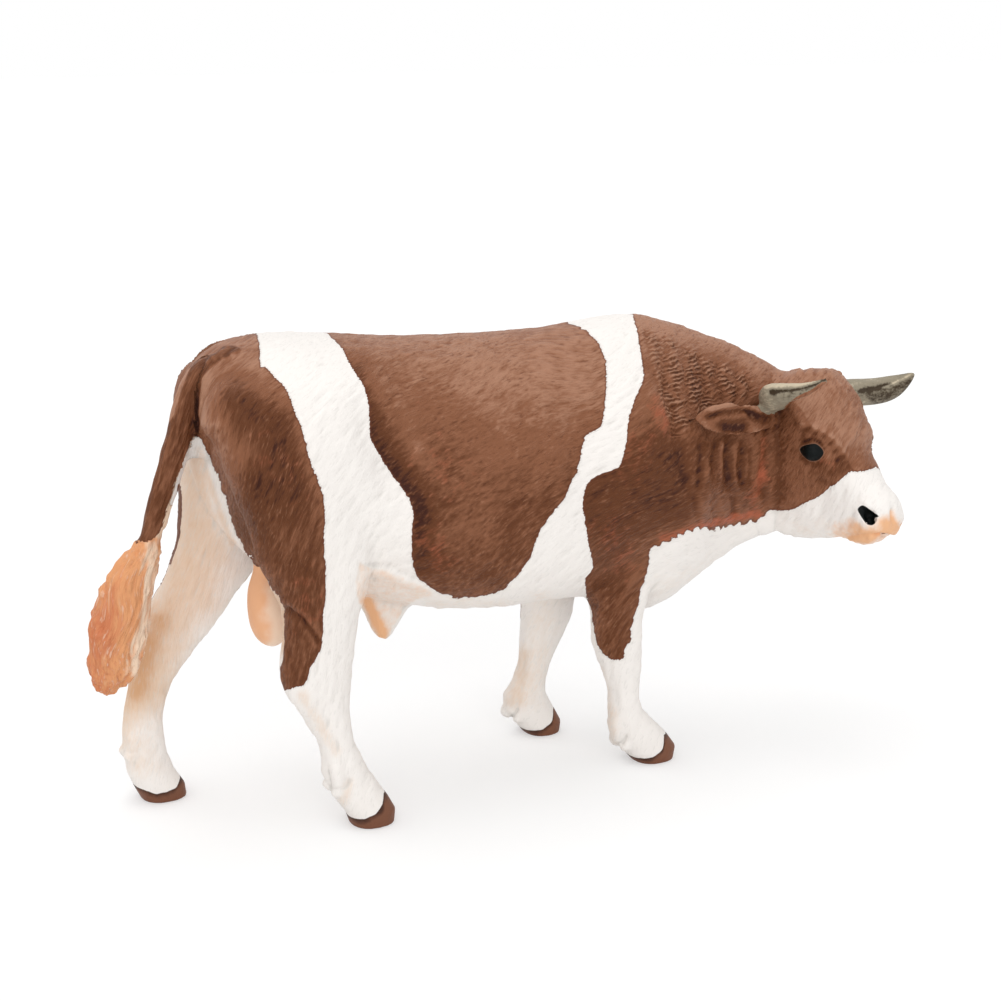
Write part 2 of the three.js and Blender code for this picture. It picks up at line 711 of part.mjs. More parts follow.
// Geometry of a solid
function geometryOf(piece) {
  const mesh = piece.getMesh();
  const surface = new THREE.BufferGeometry();
  const places = [];
  for (let index = 0; index < mesh.numVert; index += 1) {
    const start = index * mesh.numProp;
    places.push(...mesh.vertProperties.slice(start, start + 3));
  }
  surface.setAttribute("position", new THREE.Float32BufferAttribute(places, 3));
  surface.setIndex(Array.from(mesh.triVerts));
  surface.computeVertexNormals();
  return surface;
}

// Named mesh with its own paint
function pieceMesh(name, piece, colour, roughness) {
  const paint = new THREE.MeshStandardMaterial({ color: colour, roughness, metalness: 0 });
  const mesh = new THREE.Mesh(geometryOf(piece), paint);
  mesh.name = name;
  return mesh;
}

// All pieces, moved so that the figure stands at the middle of its own footprint
function bull() {
  const group = new THREE.Group();
  const place = headPlace().elements;
  group.add(pieceMesh("torso", torso(), "#8a4524", 0.6));
  group.add(pieceMesh("head", head(), "#efe9df", 0.6));
  group.add(pieceMesh("right_horn", horn(rightHornShares, -1, 0).transform(place), "#8d8378", 0.5));
  group.add(pieceMesh("left_horn", horn(leftHornShares, 1, 0).transform(place), "#8d8378", 0.5));
  group.add(pieceMesh("right_ear", ear(-1, 0).transform(place), "#d9a07c", 0.6));
  group.add(pieceMesh("left_ear", ear(1, 0).transform(place), "#d9a07c", 0.6));
  for (const [name, leg] of Object.entries(legs)) {
    group.add(pieceMesh(name, lowerLeg(leg), "#ece5d9", 0.6));
  }
  group.add(pieceMesh("tail", tail(0), "#5a2f1c", 0.6));
  group.add(pieceMesh("scrotum", uprightLoft(scrotumShares, 1, 0, 0), "#dd9a6c", 0.6));
  const box = new THREE.Box3().setFromObject(group);
  const middle = box.getCenter(new THREE.Vector3());
  group.children.forEach((mesh) => mesh.geometry.translate(-middle.x, -middle.y, -box.min.z));
  return group;
}

export default bull();
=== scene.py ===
"""Toy bull: the CAD pieces as one fine painted skin, cut up again, with floor, light and camera."""

import bpy
import numpy as np
from mathutils import Matrix, Vector
from mathutils.bvhtree import BVHTree


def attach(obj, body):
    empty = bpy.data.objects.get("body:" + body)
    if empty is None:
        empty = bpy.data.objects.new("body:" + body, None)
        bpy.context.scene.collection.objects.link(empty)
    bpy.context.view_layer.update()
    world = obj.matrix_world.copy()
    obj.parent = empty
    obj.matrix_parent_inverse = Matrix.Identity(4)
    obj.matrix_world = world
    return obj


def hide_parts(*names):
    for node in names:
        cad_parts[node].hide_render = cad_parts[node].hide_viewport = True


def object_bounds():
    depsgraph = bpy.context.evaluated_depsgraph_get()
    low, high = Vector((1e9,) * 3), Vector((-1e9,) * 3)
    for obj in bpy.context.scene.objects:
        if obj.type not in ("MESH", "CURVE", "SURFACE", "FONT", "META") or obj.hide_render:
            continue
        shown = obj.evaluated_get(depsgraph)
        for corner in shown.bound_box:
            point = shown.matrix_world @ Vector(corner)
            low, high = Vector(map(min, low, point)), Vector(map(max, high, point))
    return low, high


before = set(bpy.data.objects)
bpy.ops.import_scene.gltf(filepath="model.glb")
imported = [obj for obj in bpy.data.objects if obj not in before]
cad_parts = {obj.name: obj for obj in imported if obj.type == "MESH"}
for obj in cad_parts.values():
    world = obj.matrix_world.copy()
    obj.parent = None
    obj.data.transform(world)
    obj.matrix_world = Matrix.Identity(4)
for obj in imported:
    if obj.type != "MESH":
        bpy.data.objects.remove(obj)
cad_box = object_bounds()

# Lengths are in mm, in the trunk's own frame: x forward, y to the animal's left, z up
MM = 0.001
TRUNK_ORIGIN = np.array([-5.2035, 1.8759, -0.6])

# Camera
PHOTO_SIZE = 1001
FOCAL_PX = 1852
SENSOR_MM = 36
CAMERA_DISTANCE = 300
CAMERA_HEADING = -26.3
CAMERA_HEIGHT = 15
CAMERA_TARGET = np.array([0.8, 0, 45.9])

# Where the neck bends and how the head sits on it
BEND_START = 28
BEND_RADIUS = 80
HEAD_PLACE = np.array([54.5, -7.5, 58.5])
HEAD_YAW = -66
HEAD_PITCH = 37
HEAD_ROLL = -7

# Skin
VOXEL = 0.3
SEAM_FILL = 0.25
FACET_SMOOTHING = 1.1
SEAM_SMOOTHING = 1.2
SEAM_SPREAD = (0.02, 0.2)
PULL = 0.5  # how far one smoothing step moves a point to the mean of its neighbours
FINE_PULL = 0.06  # the same where the shape is fine
FINE_HEAD = (-6, 2)  # in mm ahead of the head's place, where its fine shape begins
FINE_FOOT = (9, 14)  # heights over which that of the feet ends
EVEN_ROUNDS = 6  # smoothing steps for the labels

HORNS = ["right_horn", "left_horn"]
EARS = ["right_ear", "left_ear"]
LEGS = ["right_hind_leg", "left_hind_leg", "right_foreleg", "left_foreleg"]
NODES = ["torso", "head", *HORNS, *EARS, *LEGS, "tail", "scrotum"]
LABEL = {name: number for number, name in enumerate(NODES)}


# Geometry tools
def turned(axis, degrees):
    return np.array(Matrix.Rotation(np.radians(degrees), 3, axis))


HEAD_TURN = turned("Z", HEAD_YAW) @ turned("Y", HEAD_PITCH) @ turned("X", HEAD_ROLL)

heading, height = np.radians(CAMERA_HEADING), np.radians(CAMERA_HEIGHT)
flat = np.cos(height)
TO_CAMERA = np.array([np.sin(heading) * flat, -np.cos(heading) * flat, np.sin(height)])
CAMERA = CAMERA_TARGET + CAMERA_DISTANCE * TO_CAMERA
IMAGE_RIGHT = np.cross(-TO_CAMERA, [0, 0, 1])
IMAGE_RIGHT /= np.linalg.norm(IMAGE_RIGHT)
IMAGE_UP = np.cross(IMAGE_RIGHT, -TO_CAMERA)
PX = FOCAL_PX / CAMERA_DISTANCE  # pixels to a mm on the figure


def depths(points):
    return (points - CAMERA) @ -TO_CAMERA


def pixels(points):
    """Where the camera sees the points in the photograph."""
    ray = points - CAMERA
    scale = FOCAL_PX / depths(points)
    across = PHOTO_SIZE / 2 + scale * (ray @ IMAGE_RIGHT)
    down = PHOTO_SIZE / 2 - scale * (ray @ IMAGE_UP)
    return np.stack([across, down], -1)


def ramp(values, low, high):
    """0 below low, 1 above high, and smooth between."""
    share = np.clip((values - low) / (high - low), 0, 1)
    return share * share * (3 - 2 * share)


def normalised(vectors):
    return vectors / np.maximum(np.linalg.norm(vectors, axis=-1, keepdims=True), 1e-12)


def fetched(items, key, width=3, kind=float):
    """One property of all the items, a row of so many numbers for each."""
    numbers = np.empty(len(items) * width, kind)
    items.foreach_get(key, numbers)
    return numbers.reshape(-1, width)


def in_scene(name, data):
    made = bpy.data.objects.new(name, data)
    bpy.context.scene.collection.objects.link(made)
    return made


def new_object(name, points, faces):
    mesh = bpy.data.meshes.new(name)
    mesh.from_pydata(points.tolist(), [], faces.tolist())
    mesh.update()
    return in_scene(name, mesh)


def sides_of(quads):
    """The sides of all the quads, each by the points that it runs from and to."""
    return np.concatenate([quads[:, [k, (k + 1) % 4]] for k in range(4)])


def vertex_normals(points, faces):
    a, b, c = (points[faces[:, k]] for k in (0, 1, 2))
    d = points[faces[:, -1]]
    across = np.cross(c - a, d - b) if faces.shape[1] == 4 else np.cross(b - a, c - a)
    total = np.zeros_like(points)
    for k in range(faces.shape[1]):
        for axis in range(3):
            total[:, axis] += np.bincount(faces[:, k], across[:, axis], len(points))
    return normalised(total)


class Skin:
    """A closed mesh of quads."""

    def __init__(self, points, quads):
        self.points = points
        self.quads = quads
        sides = np.unique(np.sort(sides_of(quads), axis=1), axis=0)
        self.ends = np.concatenate([sides[:, 0], sides[:, 1]])
        self.others = np.concatenate([sides[:, 1], sides[:, 0]])
        self.count = np.bincount(self.ends, minlength=len(points))
        self.refresh()

    def refresh(self):
        self.normals = vertex_normals(self.points, self.quads)

    def average(self, values):
        """The mean of each point's neighbours."""
        if values.ndim == 1:
            total = np.bincount(self.ends, values[self.others], len(self.points))
            return total / self.count
        return np.stack([self.average(column) for column in values.T], -1)

    def smooth(self, values, steps, pull=PULL):
        weight = pull if np.ndim(pull) == 0 or values.ndim == 1 else pull[:, None]
        for _ in range(steps):
            values = values + weight * (self.average(values) - values)
        return values

    def parts(self):
        """A number for each point, the same for all points that hang together."""
        part = np.arange(len(self.points))
        while True:
            least = part.copy()
            np.minimum.at(least, self.ends, part[self.others])
            least = least[least]
            if np.array_equal(least, part):
                return part
            part = least


def cad_shell(name):
    """A CAD node's merged points and triangles, in mm in the trunk's frame."""
    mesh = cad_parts[name].data
    mesh.calc_loop_triangles()
    points = fetched(mesh.vertices, "co")
    faces = fetched(mesh.loop_triangles, "vertices", kind=np.int32)
    keys = np.round(points / MM, 4)
    merged, place = np.unique(keys, axis=0, return_inverse=True)
    faces = place.reshape(-1)[faces]
    whole = np.all(faces != np.roll(faces, 1, axis=1), axis=1)
    return merged - TRUNK_ORIGIN, faces[whole]


# The fused skin
def fused_skin():
    """All the CAD pieces as one fine skin with the seams closed, and its labels."""
    points, faces, owner, start = [], [], [], 0
    for name in NODES:
        shell, triangles = cad_shell(name)
        points.append(shell)
        faces.append(triangles + start)
        owner += [LABEL[name]] * len(triangles)
        start += len(shell)
    points, faces = np.concatenate(points), np.concatenate(faces)
    tree = BVHTree.FromPolygons(points.tolist(), faces.tolist())
    grown = points + SEAM_FILL * vertex_normals(points, faces)
    rough = new_object("rough", grown, faces)
    fuse = rough.modifiers.new("fuse", "REMESH")
    fuse.mode = "VOXEL"
    fuse.voxel_size = VOXEL
    found = rough.evaluated_get(bpy.context.evaluated_depsgraph_get()).to_mesh()
    fine = fetched(found.vertices, "co")
    quads = fetched(found.loops, "vertex_index", 1, np.int32).reshape(-1, 4)
    bpy.data.objects.remove(rough)
    skin = Skin(fine, quads)
    part = skin.parts()
    keep = part == np.bincount(part).argmax()
    place = np.cumsum(keep) - 1
    quads = place[skin.quads[keep[skin.quads[:, 0]]]]
    skin = Skin(skin.points[keep], quads)
    label = np.array([owner[tree.find_nearest(p)[2]] for p in skin.points])
    return skin, even_label(skin, label)


def even_label(skin, label):
    """The labels with their borders smoothed, so that no specks are left."""
    strength = np.stack([skin.smooth(1.0 * (label == k), EVEN_ROUNDS) for k in LABEL.values()], -1)
    return strength.argmax(1)


def rounds(reach):
    """Smoothing steps that even out dents of the reach given, in mm."""
    return int(4 * (reach / VOXEL) ** 2)


def smooth_facets(skin, label):
    """Rounds off the flat facets, less on the head and feet, and keeps the girth."""
    local = (skin.points - HEAD_PLACE) @ HEAD_TURN
    trimmed = [LABEL[name] for name in ["head", *HORNS, *EARS]]
    head = ramp(local[:, 0], *FINE_HEAD) * np.isin(label, trimmed)
    foot = 1 - ramp(skin.points[:, 2], *FINE_FOOT)
    fine = np.maximum.reduce([head, foot, label == LABEL["tail"]])
    pull = PULL - (PULL - FINE_PULL) * fine
    before = skin.points
    after = skin.smooth(before, rounds(FACET_SMOOTHING), pull)
    after += skin.smooth(before - after, rounds(FACET_SMOOTHING), pull)
    trunk = np.isin(label, [LABEL[name] for name in ["torso", "head", *LEGS]])
    crosses = (label[skin.ends] != label[skin.others]) & trunk[skin.ends] & trunk[skin.others]
    seam = np.zeros(len(before))
    seam[skin.ends[crosses]] = 1
    seam = ramp(skin.smooth(seam, rounds(SEAM_SMOOTHING / 2)), *SEAM_SPREAD)
    skin.points = skin.smooth(after, rounds(SEAM_SMOOTHING), PULL * seam)
    skin.refresh()
    skin.points = skin.points - SEAM_FILL * skin.normals
    skin.refresh()


# The back edge of the right thigh as seen: height in the picture, place, and pixels to move on
THIGH_BACK = [
    (425, 196, 0), (445, 194, 9), (461, 193, 14), (490, 201, 15), (518, 211, 14),
    (535, 222, 11), (551, 237, 5), (565, 256, 0),
]  # fmt: skip
THIGH_REACH = 70  # pixels over which the move fades out
THIGH_SMOOTHING = 0.5
MIDDLE = (0.5, 4)  # in mm to the left, where the right thigh ends


def slim_thigh(skin, label):
    """Moves the back edge of the right thigh forward to where the picture shows it."""
    where = pixels(skin.points)
    height, edge, shift = np.array(THIGH_BACK, float).T
    edge = np.interp(where[:, 1], height, edge)
    shift = np.interp(where[:, 1], height, shift, 0, 0) / PX
    share = 1 - ramp(where[:, 0], edge, edge + THIGH_REACH)
    share *= np.isin(label, [LABEL["torso"], LABEL["right_hind_leg"]])
    share *= 1 - ramp(skin.points[:, 1], *MIDDLE)
    share = skin.smooth(share, rounds(THIGH_SMOOTHING))
    skin.points[:, 0] += share * shift / IMAGE_RIGHT[0]
    skin.refresh()


# Right half and its mirror image
def near_half(points, normals, on_head):
    """The points and normals, with those of the left half mirrored to the right."""
    past = points[:, 0] - BEND_START
    bent = past > 0
    reach = points[:, 1] + BEND_RADIUS
    turn = np.where(bent, np.arctan2(past, reach), 0)
    side = np.where(bent, np.hypot(past, reach) - BEND_RADIUS, points[:, 1])
    out = np.stack([np.sin(turn), np.cos(turn), 0 * turn], -1)
    over = np.maximum(side, 0)[:, None]
    left = (side > 0)[:, None]
    trunk = points - 2 * over * out
    trunk_way = normals - 2 * left * (normals * out).sum(1, keepdims=True) * out
    across = HEAD_TURN[:, 1]
    over = np.maximum((points - HEAD_PLACE) @ across, 0)[:, None]
    head = points - 2 * over * across
    head_way = normals - 2 * (over > 0) * (normals @ across)[:, None] * across
    share = on_head[:, None]
    return trunk + share * (head - trunk), trunk_way + share * (head_way - trunk_way)


# Lines and outlines, all as the camera sees them, in pixels
CURVE_STEPS = 3


def rounded(outline):
    """The closed outline as a smooth curve through its points."""
    p = np.array(outline, float)
    before, after, beyond = (np.roll(p, k, axis=0) for k in (1, -1, -2))
    steps = []
    for t in np.arange(CURVE_STEPS) / CURVE_STEPS:
        steps.append(
            p
            + 0.5 * t * (after - before)
            + t * t * (before - 2.5 * p + 2 * after - 0.5 * beyond)
            + t**3 * (1.5 * p - 1.5 * after + 0.5 * beyond - 0.5 * before)
        )
    return np.stack(steps, 1).reshape(-1, 2)


def inside(outline, where):
    """How far in mm each seen point lies inside the outline, and below 0 outside."""
    curve = rounded(outline)
    least = np.full(len(where), np.inf)
    within = np.zeros(len(where), bool)
    for start, end in zip(curve, np.roll(curve, -1, axis=0)):
        along = end - start
        offset = where - start
        share = np.clip(offset @ along / (along @ along), 0, 1)
        gap = ((offset - share[:, None] * along) ** 2).sum(1)
        least = np.minimum(least, gap)
        crosses = (start[1] > where[:, 1]) != (end[1] > where[:, 1])
        rise = along[1] if along[1] else 1e-9
        at = start[0] + (where[:, 1] - start[1]) * along[0] / rise
        within ^= crosses & (where[:, 0] < at)
    return np.where(within, 1, -1) * np.sqrt(least) / PX


def line_gap(line, where):
    """Distance in mm from each seen point to a line, and the share of its length passed."""
    line = np.array(line, float)
    least = np.full(len(where), np.inf)
    passed = np.zeros(len(where))
    lengths = np.linalg.norm(np.diff(line, axis=0), axis=1)
    before = np.concatenate([[0], np.cumsum(lengths)]) / lengths.sum()
    for k, (start, end) in enumerate(zip(line, line[1:])):
        along = end - start
        offset = where - start
        share = np.clip(offset @ along / (along @ along), 0, 1)
        gap = np.linalg.norm(offset - share[:, None] * along, axis=1) / PX
        closer = gap < least
        least = np.where(closer, gap, least)
        passed = np.where(closer, before[k] + share * (before[k + 1] - before[k]), passed)
    return least, passed


# How a stroke swells from its ends
TAPER = 5
TIP = 0.15


def stroke(line, width, where):
    """1 along a line, falling off over its width, and tapered to its ends."""
    gap, passed = line_gap(line, where)
    taper = np.sqrt(np.clip(np.minimum(passed, 1 - passed) * TAPER + TIP, 0, 1))
    return np.exp(-((gap / width) ** 2)) * taper


# Outlines of the brown patches, going round
THIGH_PATCH = [
    (257, 320), (257, 333), (260, 349), (260, 365), (266, 368), (275, 377), (286, 389),
    (295, 412), (304, 436), (310, 461), (322, 492), (325, 514), (324, 545), (326, 579),
    (324, 612), (323, 638), (321, 651), (310, 668), (306, 683), (292, 688), (284, 690),
    (279, 673), (284, 645), (283, 608), (276, 594), (256, 566), (244, 548), (234, 527),
    (228, 509), (221, 484), (213, 465), (206, 449), (199, 438), (190, 436), (165, 435),
    (150, 390), (165, 320),
]  # fmt: skip
FLANK_PATCH = [
    (316, 300), (321, 318), (327, 333), (340, 347), (351, 367), (365, 389), (371, 412), (373, 438),
    (387, 465), (404, 490), (413, 510), (412, 532), (412, 557), (417, 577), (431, 588),
    (449, 596), (469, 598), (500, 591), (514, 578), (529, 560), (537, 538), (549, 518),
    (562, 501), (572, 481), (579, 464), (586, 436), (598, 429), (603, 418), (606, 389),
    (606, 366), (600, 346), (590, 334), (578, 326), (564, 321), (548, 314), (540, 290),
    (320, 290),
]  # fmt: skip
SHOULDER_PATCH = [
    (631, 295), (633, 315), (638, 337), (643, 369), (643, 380), (635, 398), (629, 418),
    (625, 449), (618, 467), (598, 475), (586, 487), (583, 507), (586, 527), (589, 547),
    (593, 567), (586, 578), (586, 590), (592, 619), (597, 643), (607, 658), (616, 660),
    (623, 657), (626, 645), (632, 643), (631, 630), (637, 607), (643, 582), (649, 563),
    (651, 548), (666, 542), (684, 533), (700, 528), (718, 528), (741, 524), (758, 518),
    (770, 510), (787, 510), (801, 505), (821, 495), (839, 481), (850, 472), (864, 471),
    (876, 467), (895, 462), (895, 300),
]  # fmt: skip
TAIL_PATCH = [
    (250, 300), (240, 400), (198, 432), (190, 447), (184, 459), (174, 488), (166, 514),
    (160, 532), (154, 538), (146, 542), (137, 541), (110, 545), (110, 400), (150, 300),
]  # fmt: skip
# The dark strip of the tail and of the clumps at its root
TAIL_STRIP = [
    (193, 363), (203, 358), (214, 355), (222, 348), (231, 346), (241, 349), (239, 353),
    (230, 357), (218, 363), (210, 368), (202, 379), (198, 395), (197, 415), (200, 440),
    (200, 520), (170, 560), (100, 560), (140, 450), (170, 421), (176, 409), (182, 388),
    (189, 370),
]  # fmt: skip
FOREHEAD = [
    (772, 376), (785, 360), (835, 360), (866, 385), (885, 430), (890, 470), (862, 472),
    (852, 468), (847, 459), (838, 445), (829, 437), (816, 430), (808, 422), (800, 408),
    (788, 400), (776, 388),
]  # fmt: skip
SHEATH = [
    (358, 562), (372, 566), (392, 570), (412, 580), (436, 594), (416, 602), (404, 612),
    (392, 634), (384, 642), (374, 636), (362, 612), (354, 590),
]  # fmt: skip
DEWLAP_EDGE = [(655, 543), (684, 533), (718, 528), (758, 518)]
TOOTH = 9  # pixels from one tooth of the edge to the next
LEG_EDGE = [(179, 486), (180, 510), (179, 530), (176, 547), (170, 563)]
EYE = [
    (800, 450), (802, 447), (807, 445), (815, 444), (820, 447), (823, 451), (823, 454),
    (821, 457), (818, 460), (813, 461), (808, 460), (804, 457),
]  # fmt: skip
NOSTRIL = [
    (858, 509), (861, 506), (864, 506), (869, 509), (874, 512), (879, 517), (876, 517),
    (874, 519), (875, 523), (872, 525), (867, 524), (863, 519), (860, 514),
]  # fmt: skip

BROW_DASHES = [
    [(804, 431), (812, 427)], [(813, 434), (820, 430)], [(821, 438), (828, 433)],
    [(828, 445), (835, 439)], [(833, 453), (841, 446)], [(835, 462), (844, 455)],
]  # fmt: skip

# Each fold is a line, its width and its height in mm (grooves below 0)
FOLDS = [
    ([(350, 385), (364, 415), (384, 455), (404, 498)], 3.0, -0.7),  # hollow of the flank
    ([(352, 362), (376, 388), (402, 428), (428, 478), (442, 525)], 3.0, 0.4),  # last rib
    ([(345, 352), (400, 358), (450, 362), (492, 360)], 1.6, 0.3),  # edge of the loin
    ([(198, 366), (206, 357)], 0.5, 0.4),  # clumps at the root of the tail
    ([(207, 366), (214, 355)], 0.5, 0.4),
    ([(213, 362), (224, 351)], 0.5, 0.45),
    ([(221, 361), (231, 347)], 0.5, 0.45),
    ([(230, 357), (241, 348)], 0.5, 0.4),
    ([(200, 381), (196, 395), (195, 415), (197, 434)], 0.5, -0.35),
    ([(284, 606), (300, 618), (312, 632), (320, 645)], 0.5, -0.4),  # tendon above the hock
    ([(288, 600), (304, 612), (317, 627), (325, 640)], 0.7, 0.3),
    ([(325, 652), (335, 654), (345, 660)], 0.6, -0.15),
    ([(665, 358), (669, 380), (677, 421), (685, 469), (691, 515)], 1.2, -0.5),  # shoulder
    ([(648, 385), (655, 402), (664, 425)], 1.2, 0.4),
    ([(701, 443), (702, 465), (698, 491)], 0.7, -0.4),  # folds of the throat
    ([(708, 443), (706, 480)], 0.6, 0.4),
    ([(716, 441), (712, 456), (714, 472)], 0.6, -0.4),
    ([(721, 440), (721, 476)], 0.6, 0.45),
    ([(728, 438), (727, 460), (729, 482)], 1.0, -0.5),
    ([(736, 440), (734, 465), (736, 486)], 0.6, 0.35),
    ([(745, 446), (741, 466), (742, 482)], 0.9, -0.45),
    ([(752, 446), (751, 482)], 0.5, -0.35),
    ([(696, 496), (697, 519)], 0.6, -0.35),
    ([(717, 491), (716, 524)], 0.6, -0.4),
    ([(733, 494), (735, 519)], 0.6, -0.35),
    ([(768, 415), (766, 450), (763, 488), (769, 510)], 1.0, -0.5),  # behind the cheek
    ([(690, 542), (686, 577)], 0.8, -0.25),  # dewlap
    ([(715, 534), (712, 562)], 0.8, -0.25),
    ([(735, 528), (733, 550)], 0.8, -0.2),
    ([(360, 564), (390, 568), (415, 579), (436, 592)], 0.6, -0.22),  # above the sheath
    ([(362, 570), (388, 574), (412, 585)], 0.8, 0.35),
    ([(793, 408), (803, 424), (816, 429), (830, 436), (840, 447), (848, 462)], 0.7, 0.5),  # brow
    *[(line, 0.45, -0.2) for line in BROW_DASHES],
    ([(803, 442), (812, 439), (820, 443), (825, 450)], 0.35, -0.25),  # lids
    ([(801, 457), (808, 464), (817, 465), (824, 460)], 0.4, -0.2),
    ([(829, 452), (832, 466), (824, 480)], 1.2, 0.3),  # bone under the eye
    ([(845, 535), (862, 536), (882, 535)], 0.35, -0.4),  # mouth
    ([(893, 506), (894, 524)], 0.4, -0.5),  # creases of the muzzle
    ([(884, 512), (887, 524)], 0.4, -0.2),
    ([(857, 507), (859, 518), (865, 528), (874, 529)], 0.5, 0.12),  # rim of the nostril
    ([(862, 503), (872, 508), (881, 515)], 0.5, 0.25),
    ([(797, 377), (801, 369)], 0.6, 0.45),  # tuft on the poll
    ([(808, 376), (811, 367)], 0.6, 0.5),
    ([(819, 376), (822, 367)], 0.6, 0.5),
    ([(829, 377), (833, 369)], 0.6, 0.5),
]  # fmt: skip
# The folds of the feet and those of the head's outline run on over the edge
FOOT_FOLDS = [
    ([(333, 764), (338, 776), (339, 788)], 1.1, 0.8),  # dewclaws
    ([(323, 764), (325, 786)], 0.5, 0.35),
    ([(328, 768), (331, 790)], 0.4, -0.45),
    ([(342, 791), (349, 784), (353, 778)], 0.6, -0.32),
    ([(612, 716), (616, 730), (618, 742)], 1.0, 0.7),
    ([(621, 745), (627, 735)], 0.4, -0.45),
    ([(504, 690), (506, 704), (506, 716)], 1.0, 0.7),
    ([(511, 718), (518, 708)], 0.4, -0.45),
    ([(131, 735), (134, 752)], 0.8, 0.5),
    ([(318, 700), (330, 730), (345, 760)], 0.8, -0.3),  # tendons
    ([(610, 655), (612, 690), (617, 715)], 0.8, -0.25),
    ([(524, 655), (519, 690)], 0.8, -0.3),
]
RIM_FOLDS = [
    ([(850, 543), (862, 543), (874, 541)], 0.8, 0.3),
    ([(874, 537), (886, 537), (905, 542)], 0.4, -1.0),
    ([(881, 542), (892, 546)], 0.8, -1.2),
    ([(893, 528), (908, 522)], 0.4, -0.3),
    ([(758, 532), (774, 527), (792, 531)], 2.6, 0.7),
    ([(800, 366), (812, 364), (826, 366)], 1.5, -0.5),
]
EAR_FOLDS = [
    ([(701, 412), (720, 406), (740, 402), (752, 405), (760, 411)], 0.45, 0.35),
    ([(705, 418), (722, 413), (745, 410), (758, 415)], 0.5, -0.45),
    ([(722, 427), (736, 429), (748, 427)], 1.3, -0.5),
    ([(745, 416), (752, 424), (754, 432)], 0.5, 0.3),
]
HORN_FOLDS = [
    ([(771, 393), (785, 391), (800, 388), (815, 384), (825, 378)], 0.35, -0.35),
    ([(862, 391), (880, 386), (895, 381)], 0.35, -0.35),
]

# The hair of the neck stands in wavy columns, here their edges at one height in the picture
CRIMPED = [
    (640, 326), (665, 334), (700, 350), (735, 366), (755, 380), (757, 398), (740, 404),
    (715, 410), (698, 418), (688, 434), (672, 442), (664, 420), (655, 395), (648, 360),
]  # fmt: skip
COLUMN_EDGES = [640, 654, 668, 687, 705, 720, 736, 750, 764]
COLUMN_HEIGHT = 390
COLUMN_LEAN = 0.115
CRIMP_RISE = 4.6

# Which way the hair lies: seen place, then the way across and down the picture
HAIR = [
    (480, 480, -1, 0.55), (460, 570, -1, 0.6), (420, 350, -1, 0.1), (571, 350, -1, -0.6),
    (560, 440, -1, 0.7), (620, 380, -0.8, 0.6), (620, 520, -1, 0.9), (690, 440, -0.3, 1),
    (700, 360, -1, 0.5), (240, 350, -1, 0.5), (215, 420, -0.3, 1), (270, 390, -1, 0.5),
    (270, 470, -0.5, 1), (295, 600, -0.2, 1), (340, 450, -0.6, 0.8), (350, 350, -1, 0.4),
    (450, 600, -1, 0.2), (330, 720, -0.2, 1), (200, 560, -0.5, 0.8), (150, 700, -0.1, 1),
    (615, 600, -0.5, 1), (630, 700, -0.1, 1), (540, 640, -0.2, 1), (700, 560, -1, 0.3),
    (780, 525, -1, 0.3), (800, 480, -0.5, 1), (830, 410, -0.4, 1), (850, 500, -0.3, 1),
    (165, 450, -0.4, 1), (120, 620, -0.3, 1), (385, 610, -0.2, 1), (270, 540, -0.5, 1),
]  # fmt: skip
HAIR_SHARPNESS = 3
HAIR_SOFTNESS = 5
GRID_STEP = 16
GRID_ROUNDS = 3000


def hair_ways(where):
    """Unit vectors across and down the picture, the way the hair lies."""
    total = np.zeros((len(where), 2))
    for across, down, right, fall in HAIR:
        gap = np.linalg.norm(where - (across, down), axis=1) + HAIR_SOFTNESS
        way = np.array([right, fall]) / np.hypot(right, fall)
        total += way / (gap**HAIR_SHARPNESS)[:, None]
    return normalised(total)


def unrolled(ways):
    """Values on a grid of rows and columns whose slope follows the ways given."""
    right = GRID_STEP * (ways[:, 1:, 0] + ways[:, :-1, 0]) / 2
    down = GRID_STEP * (ways[1:, :, 1] + ways[:-1, :, 1]) / 2
    count = np.full(ways.shape[:2], 4.0)
    for edge in (count[0], count[-1], count[:, 0], count[:, -1]):
        edge -= 1
    values = np.zeros(ways.shape[:2])
    for _ in range(GRID_ROUNDS):
        total = np.zeros_like(values)
        total[:, 1:] += values[:, :-1] + right
        total[:, :-1] += values[:, 1:] - right
        total[1:] += values[:-1] + down
        total[:-1] += values[1:] - down
        values = total / count
    return values


def on_grid(values, where):
    """The grid's values at the seen points."""
    place = np.clip(where / GRID_STEP, 0, len(values) - 1.001)
    column, row = np.floor(place).astype(int).T
    right, down = (place - np.floor(place)).T
    top = values[row, column] * (1 - right) + values[row, column + 1] * right
    low = values[row + 1, column] * (1 - right) + values[row + 1, column + 1] * right
    return top * (1 - down) + low * down


def hair_lay(where, depth):
    """Places in mm: along the hair, across it and away from the camera."""
    steps = np.arange(0, PHOTO_SIZE + GRID_STEP, GRID_STEP, float)
    grid = np.stack(np.meshgrid(steps, steps), -1)
    ways = hair_ways(grid.reshape(-1, 2)).reshape(grid.shape)
    sideways = np.stack([-ways[..., 1], ways[..., 0]], -1)
    along = on_grid(unrolled(ways), where) / PX
    across = on_grid(unrolled(sideways), where) / PX
    return np.stack([along, across, depth - CAMERA_DISTANCE], -1)


HORN_EDGE = 0.3  # the smoothed share of horn where its paint begins
HORN_BLEND = 0.6
HORN_STOP_EDGE = (-0.05, 0.1)
# Below the root of the right horn, where its paint stops
HORN_STOP = [
    (776, 413), (784, 407), (797, 396), (812, 389), (826, 381), (840, 400), (820, 430),
    (780, 430), (772, 418),
]  # fmt: skip
LATTICE = np.random.default_rng(7).standard_normal((48, 48, 48))


